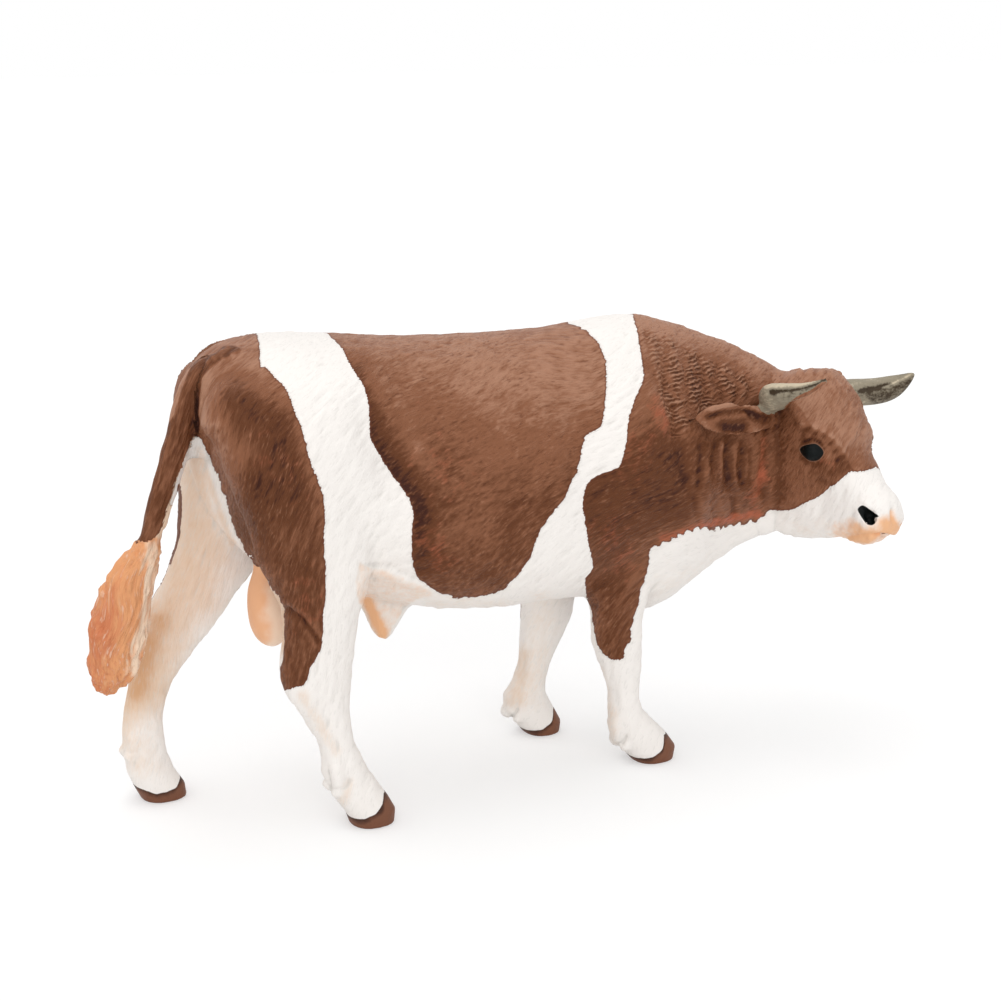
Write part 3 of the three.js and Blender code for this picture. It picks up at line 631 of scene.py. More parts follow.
def noise(places):
    """Smooth noise with a spread of 1, by the place in cells."""
    cell = np.floor(places).astype(int)
    share = places - cell
    share = share * share * (3 - 2 * share)
    total = np.zeros(len(places))
    for corner in np.ndindex(2, 2, 2):
        weight = np.where(corner, share, 1 - share).prod(1)
        at = (cell + corner) % len(LATTICE)
        total += weight * LATTICE[at[:, 0], at[:, 1], at[:, 2]]
    return total / total.std()


def strokes(length, width):
    """Noise drawn out along the hair, by the size in mm of one stroke."""
    cells = lay / (length, width, length)
    lean = cells[:, 1:2] * (1, 0, 0)
    return (noise(cells + 0.6 * lean) + noise(cells - 0.6 * lean + 17)) / np.sqrt(2)


# Build
skin, label = fused_skin()
smooth_facets(skin, label)
slim_thigh(skin, label)


def is_node(*names):
    return np.isin(label, [LABEL[n] for n in names])


# Where each point is seen: its own place, or its mirror image's where it faces away. The
# ramps go by how far it faces the camera
OWN_PLACE = (0, 0.12)
FRONT = (0, 0.3)
OVER_EDGE = (-0.7, -0.3)
NECK_BLEND = (-6, 4)  # in mm ahead of the head's place
head_local = (skin.points - HEAD_PLACE) @ HEAD_TURN
neck = ramp(head_local[:, 0], *NECK_BLEND) * is_node("head")
on_head = np.where(is_node(*HORNS, *EARS), 1.0, neck)
base, way = near_half(skin.points, skin.normals, on_head)
turned_here = ramp(skin.normals @ TO_CAMERA, *OWN_PLACE)
shown = is_node("left_hind_leg", "left_foreleg", "tail", "left_horn")
direct = np.where(is_node("left_ear"), 0, np.where(shown, 1, turned_here))
seen = pixels(base) + direct[:, None] * (pixels(skin.points) - pixels(base))
facing = (way + direct[:, None] * (skin.normals - way)) @ TO_CAMERA
front = ramp(facing, *FRONT)
lay = hair_lay(seen, depths(base))

# The tail ends at its painted edge, and what lies beside it belongs to the trunk
TAIL_FREE = 505  # height in the picture from where the tail hangs free
beside = is_node("tail") & (inside(TAIL_PATCH, seen) < -0.05) & (seen[:, 1] < TAIL_FREE)
label = even_label(skin, np.where(beside, LABEL["torso"], label))

torso, head, tail = is_node("torso"), is_node("head"), is_node("tail")
ears, horns = is_node(*EARS), is_node(*HORNS)
body = is_node("torso", "head", "right_hind_leg", "right_foreleg")
left_leg = is_node("left_foreleg", "left_hind_leg")
horned = skin.smooth(1.0 * horns, rounds(HORN_BLEND))
horned -= ramp(inside(HORN_STOP, seen), *HORN_STOP_EDGE) * front * is_node("head", "right_horn")


def fold_heights():
    """What the folds add at each point, in mm."""
    over_edge = ramp(facing, *OVER_EDGE)
    total = np.zeros(len(skin.points))
    for table, share in (
        (FOLDS, body * front),
        (EAR_FOLDS, ears * front),
        (HORN_FOLDS, horns * front),
        (RIM_FOLDS, (head | torso) * over_edge),
        (FOOT_FOLDS, is_node(*LEGS) * over_edge),
    ):
        for line, width, rise in table:
            total += rise * stroke(line, width, seen) * share
    return total


CRIMPED_EDGE = (-0.3, 1.5)
CRIMP_HEIGHT = 0.28
CRIMP_SLANT = 0.7  # of the waves in the first column, in waves over its width
CRIMP_SLANT_GROWTH = 0.1  # from one column to the next
CRIMP_SHIFT = 0.37
# How far the columns and the waves wander, and the size in mm of the noise that does it
COLUMN_WANDER, COLUMN_GRAIN = 2.5, 2.2
CRIMP_WANDER, CRIMP_GRAIN = 0.12, 1.5


def crimps():
    """The height of the columns of neck hair, and the waves across them for the material."""
    level = seen[:, 0] - COLUMN_LEAN * (seen[:, 1] - COLUMN_HEIGHT)
    level = level + COLUMN_WANDER * noise(lay / COLUMN_GRAIN)
    column = np.interp(level, COLUMN_EDGES, np.arange(len(COLUMN_EDGES)))
    within = column % 1
    strength = ramp(inside(CRIMPED, seen), *CRIMPED_EDGE) * body * front
    slant = CRIMP_SLANT + CRIMP_SLANT_GROWTH * column
    wave = seen[:, 1] / CRIMP_RISE + slant * within + CRIMP_SHIFT * np.floor(column)
    wave = wave + CRIMP_WANDER * noise(lay / CRIMP_GRAIN)
    height = strength * CRIMP_HEIGHT * (-0.2 - 0.5 * np.cos(2 * np.pi * within))
    return height, np.stack([wave, strength * np.sqrt(np.sin(np.pi * within)), 0 * wave], -1)


crimp_height, crimp_waves = crimps()
raised = fold_heights() + crimp_height

# Eyes and nostrils
FAR_OFF = 5  # in mm, for what lies well inside or outside an edge
EYE_RISE, EYE_EDGE = 0.25, (-0.1, 1)
NOSTRIL_DEPTH, NOSTRIL_EDGE = 0.6, (-0.1, 0.8)
eye = np.where(head & (facing > 0), inside(EYE, seen), -FAR_OFF)
nostril = np.where(head & (facing > 0), inside(NOSTRIL, seen), -FAR_OFF)
raised += EYE_RISE * ramp(eye, *EYE_EDGE) - NOSTRIL_DEPTH * ramp(nostril, *NOSTRIL_EDGE)
black = np.maximum(eye, nostril)

# Hair, with the size of one stroke and how far it stands up, in mm
CLUMP, CLUMP_RISE = (2.6, 0.9), 0.045
LOCK, LOCK_RISE = (1.5, 0.5), 0.04
TAIL_RISE = 0.08
TAIL_SIDES = 3.5  # how much finer the strokes of the tail are away from the camera
TAIL_WAVE = 0.5
HOOF_TOP = (4, 8)
BARE_RIM = (-0.6, -0.2)
waved = tail & (inside(TAIL_PATCH, seen) < 0)
lay[:, 2] *= np.where(tail, TAIL_SIDES, 1)
lay[:, 1] += waved * TAIL_WAVE * np.sin(lay[:, 0] / 1.1 + 1.5 * np.sin(lay[:, 1] / 1.7))
clumps, locks = strokes(*CLUMP), strokes(*LOCK)
bare = np.maximum(1 - ramp(skin.points[:, 2], *HOOF_TOP), ramp(black, *BARE_RIM))
haired = ~is_node(*HORNS, "scrotum") * (1 - bare)
raised += haired * (CLUMP_RISE * clumps + LOCK_RISE * locks)
raised += waved * TAIL_RISE * (clumps + locks)
skin.points = skin.points + skin.normals * raised[:, None]
low, high = (np.array(corner) / MM - TRUNK_ORIGIN for corner in cad_box)
skin.points = np.clip(skin.points, low, high)
skin.refresh()

# Brown paint, in mm. The legs are brown outside and white inside, by the way they face
FACING_REACH = 6  # what a full facing counts as
OUTSIDE_FACING = 0.25
INSIDE_FACING = 0.15
LEG_ROOT = (34, 44)  # heights where the white of the inner side gives way
LEG_WHITE = 21  # height where the brown of the left legs ends
LEG_EDGE_WIDTH = 0.3
TOOTH_DEPTH = 0.35
TOOTH_REACH = 1.5
RUMP_FRONT = [(44, -42), (50, -44)]  # height and place of the front edge on the left rump
RUMP_INSIDE = 9  # left of the middle
UNSEEN_WAVER = 0.6  # of the edges that the camera doesn't see


def dewlap_teeth():
    """What the ragged edge along the dewlap adds to the brown, in mm."""
    gap, _ = line_gap(DEWLAP_EDGE, seen)
    teeth = 4 * np.abs((seen[:, 0] / TOOTH + 0.25 * noise(lay / 2.5)) % 1 - 0.5) - 1
    return TOOTH_DEPTH * teeth * np.exp(-((gap / TOOTH_REACH) ** 2)) * (0.6 + 0.4 * clumps)


def brown_depth():
    """How far in mm each point lies inside the brown paint, and below 0 in the white."""
    x, y, z = skin.points.T
    patches = (THIGH_PATCH, FLANK_PATCH, SHOULDER_PATCH)
    brown = np.maximum.reduce([inside(patch, seen) for patch in patches]) + dewlap_teeth()
    low_down = 1 - ramp(z, *LEG_ROOT)
    inner = (INSIDE_FACING - way[:, 1]) * FACING_REACH / np.maximum(low_down, 1e-3)
    brown = np.where(low_down > 0, np.minimum(brown, inner), brown)
    outer = (skin.normals[:, 1] - OUTSIDE_FACING) * FACING_REACH
    outer = np.minimum(outer, z - LEG_WHITE)
    brown = np.where(left_leg, outer, brown)
    gap, _ = line_gap(LEG_EDGE, seen)
    brown = np.where(left_leg | torso, np.maximum(brown, LEG_EDGE_WIDTH - gap), brown)
    rump_edge = np.interp(z, *np.transpose(RUMP_FRONT))
    rump = np.minimum.reduce([outer, rump_edge - x, y - RUMP_INSIDE])
    brown = np.where(torso, np.maximum(brown, rump), brown)
    unseen = 1 - ramp(skin.normals @ TO_CAMERA, *OWN_PLACE)
    brown += UNSEEN_WAVER * unseen * noise(lay / 4)
    brown = np.where(tail, inside(TAIL_PATCH, seen), brown)
    return np.where(ears, FAR_OFF, brown) + 0.05 * locks


# Tints, each a line, its reach in mm and its strength (brown: light above 0, dark below):
# airbrushed paint, with painted light and shade in the tones
# Brown tones: painted light on the tops of rump, back and neck and on ridges; painted shade in the
# flank hollow, creases, on lower sides and under eye and ear, partly the figure's own dark
# airbrushing, as on the thigh
TONES = [
    ([(196, 352), (225, 340), (256, 342)], 4.0, 0.35),
    ([(215, 374), (240, 366), (262, 372), (285, 390)], 3.2, 0.5),
    ([(204, 382), (202, 400), (203, 425)], 0.9, 0.8),
    ([(212, 385), (213, 410), (222, 440), (244, 490)], 1.8, 0.4),
    ([(300, 425), (318, 490)], 1.6, 0.3),
    ([(345, 335), (420, 345), (500, 345), (590, 345)], 7.0, 0.55),
    ([(480, 385), (520, 395), (570, 395)], 6.0, 0.4),
    ([(372, 375), (400, 412), (425, 462)], 2.2, 0.35),
    ([(640, 315), (700, 330), (760, 362)], 4.0, 0.8),
    ([(236, 400), (268, 425), (292, 490), (262, 480)], 4.5, -1.15),
    ([(250, 530), (300, 560), (300, 680)], 7.0, -0.75),
    ([(350, 380), (364, 420), (385, 465), (406, 505)], 3.8, -1.35),
    ([(412, 520), (420, 560)], 3.4, -0.6),
    ([(405, 530), (440, 575), (500, 580), (535, 545)], 7.0, -0.6),
    ([(450, 450), (450, 490), (520, 500)], 6.0, -0.4),
    ([(600, 490), (625, 465), (640, 500)], 6.0, -0.95),
    ([(605, 540), (612, 600), (615, 650)], 6.0, -0.7),
    ([(672, 455), (684, 500)], 4.0, -0.9),
    ([(700, 375), (720, 400)], 3.5, -0.35),
    ([(720, 358), (740, 382)], 3.0, -0.35),
    ([(845, 392), (860, 415)], 2.5, -0.3),
    ([(705, 450), (740, 495)], 4.0, -0.5),
    ([(728, 442), (727, 460), (729, 482)], 1.2, -0.8),
    ([(744, 448), (741, 466), (742, 482)], 1.2, -0.8),
    ([(716, 443), (713, 470)], 0.6, -0.4),
    ([(701, 445), (699, 488)], 0.6, -0.4),
    ([(721, 445), (721, 474)], 0.5, 0.5),
    ([(736, 445), (735, 484)], 0.5, 0.5),
    ([(775, 408), (776, 440), (770, 490)], 3.0, -0.4),
    ([(826, 475), (845, 466), (870, 464)], 2.0, -0.7),
    ([(790, 430), (800, 470)], 4.0, -0.2),
    ([(803, 442), (812, 439), (820, 443)], 0.4, -0.9),
    *[(line, 0.4, -0.45) for line in BROW_DASHES],
    ([(752, 411), (766, 421)], 1.0, -1.2),
]  # fmt: skip
# Ear tones: painted light on the upper rim, painted shade in the hollow and along the lower edge
EAR_TONES = [
    ([(712, 408), (726, 404), (740, 402), (752, 405), (760, 411)], 0.4, 1.8),
    ([(702, 426), (714, 434)], 1.3, 0.3),
    ([(695, 420), (702, 431), (714, 439), (730, 441), (748, 438)], 0.7, -0.6),
    ([(708, 417), (725, 413), (745, 411), (756, 415)], 0.6, -0.6),
    ([(726, 428), (744, 428)], 1.3, -1.4),
    ([(710, 424), (730, 420), (750, 420)], 0.9, -0.3),
    ([(753, 414), (765, 420)], 1.1, -1.3),
    ([(749, 423), (755, 432)], 0.8, 0.6),
]
# Horn tones: painted light along the tops of the horns, painted shade along their undersides and in
# their creases
HORN_TONES = [
    ([(765, 386), (785, 385), (800, 385), (822, 377)], 0.45, 1.4),
    ([(772, 392), (795, 389), (812, 385), (825, 379)], 0.35, -1.6),
    ([(772, 392), (773, 393)], 0.5, -1.5),
    ([(780, 400), (800, 394), (820, 386)], 0.7, -0.4),
    ([(766, 396), (772, 408)], 1.0, 0.5),
    ([(852, 384), (872, 380), (892, 378)], 0.9, 0.6),
    ([(860, 391), (880, 387), (890, 383)], 0.35, -1.6),
    ([(883, 387), (900, 380), (910, 375)], 0.3, 1.4),
    ([(858, 405), (866, 402)], 0.6, 1.1),
    ([(870, 397), (890, 393), (905, 385)], 1.3, -0.7),
]
RED = [
    ([(654, 400), (664, 424)], 1.6, 0.6),
    ([(640, 440), (632, 470)], 4.0, 0.3),
    ([(764, 440), (764, 478)], 1.0, 0.6),
    ([(764, 478), (752, 500)], 1.3, 0.6),
    ([(764, 392), (770, 408)], 1.0, 0.8),
    ([(664, 538), (700, 527), (758, 513)], 0.9, 0.95),
    ([(610, 530), (622, 560)], 3.6, 0.4),
    ([(262, 455), (290, 480)], 5.0, 0.25),
    ([(430, 540), (445, 556)], 3.0, 0.45),
    ([(432, 455), (450, 480)], 4.0, 0.3),
    ([(300, 590), (310, 615)], 4.0, 0.3),
    ([(822, 458), (832, 462)], 1.2, 0.5),
    ([(92, 620), (84, 680), (96, 695)], 3.6, 0.9),
    ([(112, 590), (108, 650)], 1.6, 0.6),
]
# Warm painted shade on the far hind leg, deepest near the brush
FAR_CREAM_SHADE = [
    ([(200, 470), (190, 540), (165, 620), (150, 690)], 6.0, 0.9),
    ([(158, 620), (146, 652), (138, 690)], 2.2, 0.5),
    ([(225, 560), (210, 600)], 4.0, 0.3),
    ([(125, 640), (118, 700), (120, 740)], 3.0, 0.6),
]
# Warm painted shade under the belly, jaw and dewlap, on the backs and far sides of the legs and
# between the thighs
CREAM_SHADE = [
    ([(545, 600), (540, 640), (526, 700)], 3.6, 0.35),
    ([(640, 640), (640, 720)], 3.0, 0.1),
    ([(660, 590), (720, 560)], 3.0, 0.25),
    ([(430, 605), (500, 606)], 2.0, 0.35),
    ([(800, 530), (850, 536)], 3.0, 0.3),
    ([(152, 545), (148, 600), (134, 670)], 1.4, 0.9),
    ([(199, 450), (205, 470), (213, 492), (220, 514), (232, 543)], 0.9, 0.8),
    ([(120, 720), (140, 760)], 4.0, 0.5),
    ([(280, 590), (280, 645)], 2.2, 1.1),
    ([(302, 696), (322, 728), (336, 752)], 1.4, 0.5),
    ([(350, 784), (344, 800)], 1.1, 0.5),
    ([(600, 670), (612, 715), (616, 740)], 1.0, 0.45),
    ([(520, 655), (515, 700)], 1.6, 0.45),
]
PEACH = [
    ([(842, 533), (864, 535), (890, 526)], 2.2, 0.65),
    ([(866, 537), (880, 536), (896, 531)], 0.9, 0.5),
    ([(884, 522), (896, 526)], 1.0, 0.35),
    ([(850, 539), (866, 539), (882, 537)], 0.3, 0.7),
    ([(893, 510), (894, 524)], 0.35, 0.5),
    ([(853, 522), (858, 530)], 1.0, 0.3),
    ([(368, 602), (376, 620), (383, 634)], 0.9, 0.8),
]
MOST_TINT = 1.5


def painted(table):
    """The tints of a table added up at each point."""
    total = np.zeros(len(skin.points))
    for line, reach, strength in table:
        gap, _ = line_gap(line, seen)
        total += strength * np.exp(-((gap / reach) ** 2))
    return np.clip(total, -MOST_TINT, MOST_TINT)


# Hooves: the edge of the horn seen on each, from heel to toe
HOOF_EDGES = {
    "left_hind_leg": [(133, 790), (157, 794), (176, 788), (184, 780)],
    "right_hind_leg": [(345, 826), (352, 824), (366, 819), (376, 813), (383, 805), (387, 796)],
    "right_foreleg": [(628, 762), (640, 761), (653, 757), (662, 749), (666, 737)],
    "left_foreleg": [(517, 731), (527, 734), (542, 729), (552, 721), (556, 711)],
}
TOE_HEIGHT = 9
TOE_SIDE_SHARE = 0.04


def on_plane(place, side):
    """The point seen at a pixel, on the upright plane at that y."""
    across, down = (np.array(place) - PHOTO_SIZE / 2) / FOCAL_PX
    ray = -TO_CAMERA + across * IMAGE_RIGHT - down * IMAGE_UP
    return CAMERA + ray * (side - CAMERA[1]) / ray[1]


def hoof_depth():
    """How far in mm each point lies below the upper edge of its hoof."""
    hoof = np.full(len(skin.points), -1.0 * FAR_OFF)
    for name, edge in HOOF_EDGES.items():
        toe = is_node(name) & (skin.points[:, 2] < TOE_HEIGHT)
        side = np.quantile(skin.points[toe, 1], TOE_SIDE_SHARE)
        curve = np.array([on_plane(place, side) for place in edge])
        line = np.interp(skin.points[:, 0], curve[:, 0], curve[:, 2])
        hoof = np.where(toe, line - skin.points[:, 2], hoof)
    return hoof


# The forehead's lift is painted light on its upturned plane
FOREHEAD_TONE = 0.65
TAIL_TONE = 0.75
STRIP_TONE = -0.8
LEFT_HORN_TONE = -0.35
PAINT_EDGE = 0.12


def tones():
    """Painted light and shade of the brown and the horn at each point, with the figure's own
    airbrushing.
    """
    tone = painted(TONES) + FOREHEAD_TONE * ramp(inside(FOREHEAD, seen), -PAINT_EDGE, 0.2) * head
    tone = np.where(tail, TAIL_TONE, tone)
    strip = ramp(inside(TAIL_STRIP, seen), -PAINT_EDGE, 0.15) * (tail | torso) * front
    tone += strip * (STRIP_TONE - tone + 0.12 * clumps)
    for table, where in ((EAR_TONES, ears), (HORN_TONES, horned > HORN_EDGE - 0.1)):
        tone = np.where(where, painted(table), tone)
    return tone + LEFT_HORN_TONE * is_node("left_horn")


FAR_SIDE = (0, 3)
HOLLOW_REACH = 0.5
SHEATH_CREAM = 0.4
SHEATH_PEACH = 0.35
TAIL_CREAM = 1.6
BRUSH_TOP = (530, 545)
sheath = ramp(inside(SHEATH, seen), -0.2, 0.6) * body


def creams():
    """Cream tint of the white at each point: warm painted shade, the sheath's own cream and the
    pale top of the tail's brush.
    """
    far = np.where(torso, ramp(skin.points[:, 1], *FAR_SIDE), ~tail)
    cream = np.maximum(painted(CREAM_SHADE), painted(FAR_CREAM_SHADE) * far)
    cream += (SHEATH_CREAM - cream) * sheath
    above_brush = TAIL_CREAM * (1 - ramp(seen[:, 1], *BRUSH_TOP))
    return np.where(tail, np.maximum(cream, above_brush), cream)


def hollows():
    """How far in mm each point lies below its surroundings."""
    level = skin.smooth(skin.points, rounds(HOLLOW_REACH))
    return ((level - skin.points) * skin.normals).sum(1)


values = {
    "brown": brown_depth(),
    "tone": tones(),
    "red": painted(RED),
    "cream": creams(),
    "peach": painted(PEACH) + SHEATH_PEACH * sheath,
    "hoof": hoof_depth(),
    "black": black,
    "rim": eye,
    "horned": horned,
    "hollow": hollows(),
    "lay": lay,
    "crimp": crimp_waves,
}


# Materials
class Nodes:
    """A short way to write the nodes of a material or of the world."""

    def __init__(self, owner):
        owner.use_nodes = True
        self.owner = owner
        self.tree = owner.node_tree
        self.tree.nodes.clear()

    def put(self, socket, value):
        if isinstance(value, bpy.types.NodeSocket):
            self.tree.links.new(value, socket)
        elif value is not None:
            socket.default_value = value

    def node(self, kind, settings=None, **inputs):
        made = self.tree.nodes.new(kind)
        for key, value in (settings or {}).items():
            setattr(made, key, value)
        for key, value in inputs.items():
            self.put(made.inputs[key.replace("_", " ")], value)
        return made

    def joined(self, kind, *values, settings=None):
        """A node's output, with its inputs filled in order."""
        made = self.node(kind, settings)
        for socket, value in zip(made.inputs, values):
            self.put(socket, value)
        return made.outputs[0]

    def attribute(self, name, output="Fac"):
        return self.node("ShaderNodeAttribute", {"attribute_name": name}).outputs[output]

    def noise(self, scale, detail=3.0, where=None, stretch=(1, 1, 1)):
        where = where or self.node("ShaderNodeTexCoord").outputs["Object"]
        mapping = self.node("ShaderNodeMapping", Vector=where)
        mapping.inputs["Scale"].default_value = stretch
        made = self.node(
            "ShaderNodeTexNoise", Vector=mapping.outputs[0], Scale=scale, Detail=detail
        )
        return made.outputs["Fac"]

    def hair(self, length, width, detail=1.0):
        """Noise drawn out along the hair, by the size in mm of one stroke."""
        stretch = (1 / length, 1 / width, 1 / length)
        return self.noise(1, detail, self.attribute("lay", "Vector"), stretch)

    def math(self, operation, *numbers):
        return self.joined("ShaderNodeMath", *numbers, settings={"operation": operation})

    def sum(self, a, b, factor=1.0):
        """a + b * factor"""
        return self.math("MULTIPLY_ADD", b, factor, a)

    def vary(self, value, noise, amount):
        """The value moved up and down by a noise that lies between 0 and 1."""
        return self.sum(value, self.sum(-0.5, noise), amount)

    def ramp(self, value, low, high, to_low=0.0, to_high=1.0):
        made = self.node("ShaderNodeMapRange", {"interpolation_type": "SMOOTHSTEP"})
        self.put(made.inputs["Value"], value)
        ends = {"From Min": low, "From Max": high, "To Min": to_low, "To Max": to_high}
        for key, number in ends.items():
            self.put(made.inputs[key], number)
        return made.outputs[0]

    def mix(self, share, first, second):
        made = self.node("ShaderNodeMix", {"data_type": "RGBA"})
        for number, value in ((0, share), (6, first), (7, second)):
            self.put(made.inputs[number], value)
        return made.outputs[2]

    def tint(self, colour, other, value, low, high, most=1):
        """The colour, turning into the other one as the value goes from low to high."""
        return self.mix(self.ramp(value, low, high, 0, most), colour, other)

    def crimp(self):
        """Waves across the columns of neck hair, -1 to 1."""
        parts = self.node("ShaderNodeSeparateXYZ", Vector=self.attribute("crimp", "Vector"))
        wave = self.sum(parts.outputs[0], self.noise(900, 2), 1.2)
        ridge = self.math("SINE", self.math("MULTIPLY", wave, 2 * np.pi))
        patchy = self.ramp(self.noise(500, 2), 0.36, 0.56, 0.2, 1)
        return self.math("MULTIPLY", self.math("MULTIPLY", ridge, patchy), parts.outputs[1])

    def finish(self, colour, roughness, height=None, bump=0.0, **constants):
        shader = self.node("ShaderNodeBsdfPrincipled", Base_Color=colour)
        self.put(shader.inputs["Roughness"], roughness)
        for key, value in constants.items():
            shader.inputs[key.replace("_", " ")].default_value = value
        if height is not None:
            made = self.node("ShaderNodeBump", Height=height)
            made.inputs["Distance"].default_value = bump * MM
            self.put(shader.inputs["Normal"], made.outputs[0])
        self.end("ShaderNodeOutputMaterial", shader.outputs[0])
        return self.owner

    def end(self, kind, shader):
        """Ends the nodes in an output of the kind given."""
        self.tree.links.new(shader, self.tree.nodes.new(kind).inputs[0])

    def seen_or_lit(self, seen, lit):
        """One shader for rays from the camera, gloss and glass, the other for the rest."""
        rays = self.node("ShaderNodeLightPath").outputs
        share = rays["Is Camera Ray"]
        for name in ("Is Glossy Ray", "Is Transmission Ray"):
            share = self.math("MAXIMUM", share, rays[name])
        return self.joined("ShaderNodeMixShader", share, lit, seen)


def rgb(red, green, blue):
    """A colour as it looks on screen, 0 to 255, as Blender holds it."""
    share = np.array([red, green, blue]) / 255
    linear = np.where(share <= 0.04045, share / 12.92, ((share + 0.055) / 1.055) ** 2.4)
    return (*linear.tolist(), 1.0)


BROWN = rgb(138, 90, 64)
BROWN_DARK = rgb(100, 58, 34)
BROWN_DARKEST = rgb(62, 30, 20)
BROWN_LIGHT = rgb(172, 126, 101)
BROWN_TIP = rgb(184, 136, 108)
BROWN_DEEP = rgb(88, 48, 32)
BROWN_RED = rgb(178, 96, 68)
BROWN_EDGE = rgb(104, 58, 40)
WHITE = rgb(249, 244, 239)
WHITE_DEEP = rgb(212, 208, 202)
CREAM_TINT = rgb(230, 200, 172)
CREAM_DEEP = rgb(214, 166, 124)
PEACH_TINT = rgb(242, 188, 144)
HOOF = rgb(126, 84, 64)
HOOF_DARK = rgb(74, 48, 38)
HORN = rgb(150, 140, 121)
HORN_PALE = rgb(206, 192, 166)
HORN_DARK = rgb(66, 54, 40)
BLACK = rgb(9, 13, 13)
RIM = rgb(136, 100, 80)
BRUSH = rgb(228, 162, 114)
BRUSH_RED = rgb(206, 124, 86)
BRUSH_PALE = rgb(244, 216, 190)
SKIN_PEACH = rgb(240, 184, 142)
SKIN_PALE = rgb(250, 222, 198)
SATIN = {"Specular_IOR_Level": 0.12}


def new_material(name):
    return Nodes(bpy.data.materials.new(name))


def brown_paint(made, strand, crimp=0.0):
    """Brown with painted light and shade, the figure's own airbrushing, red touches and pale hair
    tips.
    """
    tone = made.vary(made.vary(made.attribute("tone"), made.noise(260, 4), 1.0), strand, 0.9)
    # Painted light and shade: lighter and darker bands on the neck crimps, darker in hollows and
    # lighter on ridges
    tone = made.sum(made.sum(tone, crimp, 1.2), made.attribute("hollow"), -4)
    colour = made.tint(BROWN, BROWN_DARK, tone, 0.0, -0.95)
    colour = made.tint(colour, BROWN_DARKEST, tone, -1.0, -1.6)
    colour = made.tint(colour, BROWN_LIGHT, tone, 0.0, 1.0)
    red = made.vary(made.vary(made.attribute("red"), made.noise(600, 4), 1.2), strand, 0.9)
    colour = made.tint(colour, BROWN_RED, red, 0.2, 1.3, 0.85)
    spread = made.ramp(made.noise(330, 3), 0.42, 0.62, 0.15, 1)
    tips = made.math("MULTIPLY", made.ramp(strand, 0.56, 0.78, 0, 0.22), spread)
    colour = made.mix(tips, colour, BROWN_TIP)
    gaps = made.math("MULTIPLY", made.ramp(strand, 0.44, 0.24, 0, 0.45), spread)
    return made.mix(gaps, colour, BROWN_DEEP)


def white_paint(made, strand):
    """White with a cream tint that is partly painted shade, and painted shade in the hollows."""
    cream = made.vary(made.attribute("cream"), made.noise(300, 4), 0.5)
    cream = made.vary(cream, strand, 0.35)
    colour = made.tint(WHITE, CREAM_TINT, cream, 0.1, 1.1, 0.9)
    colour = made.tint(colour, CREAM_DEEP, cream, 0.9, 1.6, 0.9)
    colour = made.tint(colour, WHITE_DEEP, strand, 0.42, 0.28, 0.22)
    # Painted shade in the hollows
    colour = made.tint(colour, WHITE_DEEP, made.attribute("hollow"), 0.01, 0.12, 0.5)
    peach = made.vary(made.attribute("peach"), made.noise(900, 4), 0.6)
    return made.tint(colour, PEACH_TINT, peach, 0.15, 1.0)


def horn_share(made):
    return made.ramp(made.attribute("horned"), HORN_EDGE - 0.04, HORN_EDGE + 0.04)


def horn_paint(made):
    """Grey horn, streaked and mottled, with the painted light and shade of its tone."""
    streak = made.noise(900, 4, stretch=(1, 1, 2.5))
    tone = made.vary(made.vary(made.attribute("tone"), streak, 2.0), made.noise(2600, 2), 1.2)
    colour = made.tint(HORN, HORN_PALE, tone, 0.1, 1.2)
    return made.tint(colour, HORN_DARK, tone, -0.1, -1.3)


def coat_material():
    made = new_material("coat")
    strand = made.hair(1.0, 0.24)
    crimp = made.crimp()
    brown = made.vary(made.attribute("brown"), strand, 0.45)
    dark = made.tint(brown_paint(made, strand, crimp), BROWN_EDGE, brown, 0.4, 0.0, 0.8)
    colour = made.tint(white_paint(made, strand), dark, brown, -0.04, 0.04)
    ragged = made.vary(made.attribute("hoof"), made.noise(700, 3), 0.4)
    # Painted shade: the hoof darkens just below its upper edge under the hair, mottled by noise
    hoof_shade_and_mottle = made.vary(ragged, made.noise(420, 4), 2.5)
    of_hoof = made.tint(HOOF_DARK, HOOF, hoof_shade_and_mottle, 0.0, 1.3)
    colour = made.tint(colour, of_hoof, ragged, -0.06, 0.06)
    colour = made.tint(colour, RIM, made.attribute("rim"), -0.25, -0.1, 0.7)
    inked = made.ramp(made.attribute("black"), -0.08, 0.02)
    colour = made.mix(inked, colour, BLACK)
    colour = made.mix(horn_share(made), colour, horn_paint(made))
    fuzz = made.sum(made.hair(0.5, 0.13), made.noise(3600, 2), 0.4)
    on_brown = made.ramp(brown, -0.3, 0.1, 0.38)
    height = made.math("MULTIPLY", made.sum(strand, fuzz, 0.5), on_brown)
    height = made.mix(inked, made.sum(height, crimp, 0.85), (0.5, 0.5, 0.5, 1))
    return made.finish(colour, 0.5, height, 0.2, **SATIN)


def horn_material():
    made = new_material("horn")
    brown = brown_paint(made, made.hair(1.0, 0.24))
    colour = made.mix(horn_share(made), brown, horn_paint(made))
    return made.finish(colour, 0.5, made.noise(1500, 4), 0.1, **SATIN)


def tail_material():
    made = new_material("tail")
    strand, lock, fine = made.hair(1.6, 0.34, 2), made.hair(3.5, 0.9, 2), made.hair(1.1, 0.26)
    red = made.vary(made.vary(made.attribute("red"), strand, 2.2), lock, 1.6)
    brush = made.tint(BRUSH, BRUSH_RED, red, -0.1, 1.2, 0.9)
    pale = made.vary(made.attribute("cream"), lock, -2.0)
    brush = made.tint(brush, BRUSH_PALE, pale, 0.2, 1.0)
    brush = made.tint(brush, BRUSH_PALE, strand, 0.56, 0.75, 0.5)
    brown = made.vary(made.attribute("brown"), fine, 0.7)
    colour = made.tint(brush, brown_paint(made, fine), brown, -0.05, 0.05)
    return made.finish(colour, 0.5, made.sum(strand, fine, 0.5), 0.25, **SATIN)


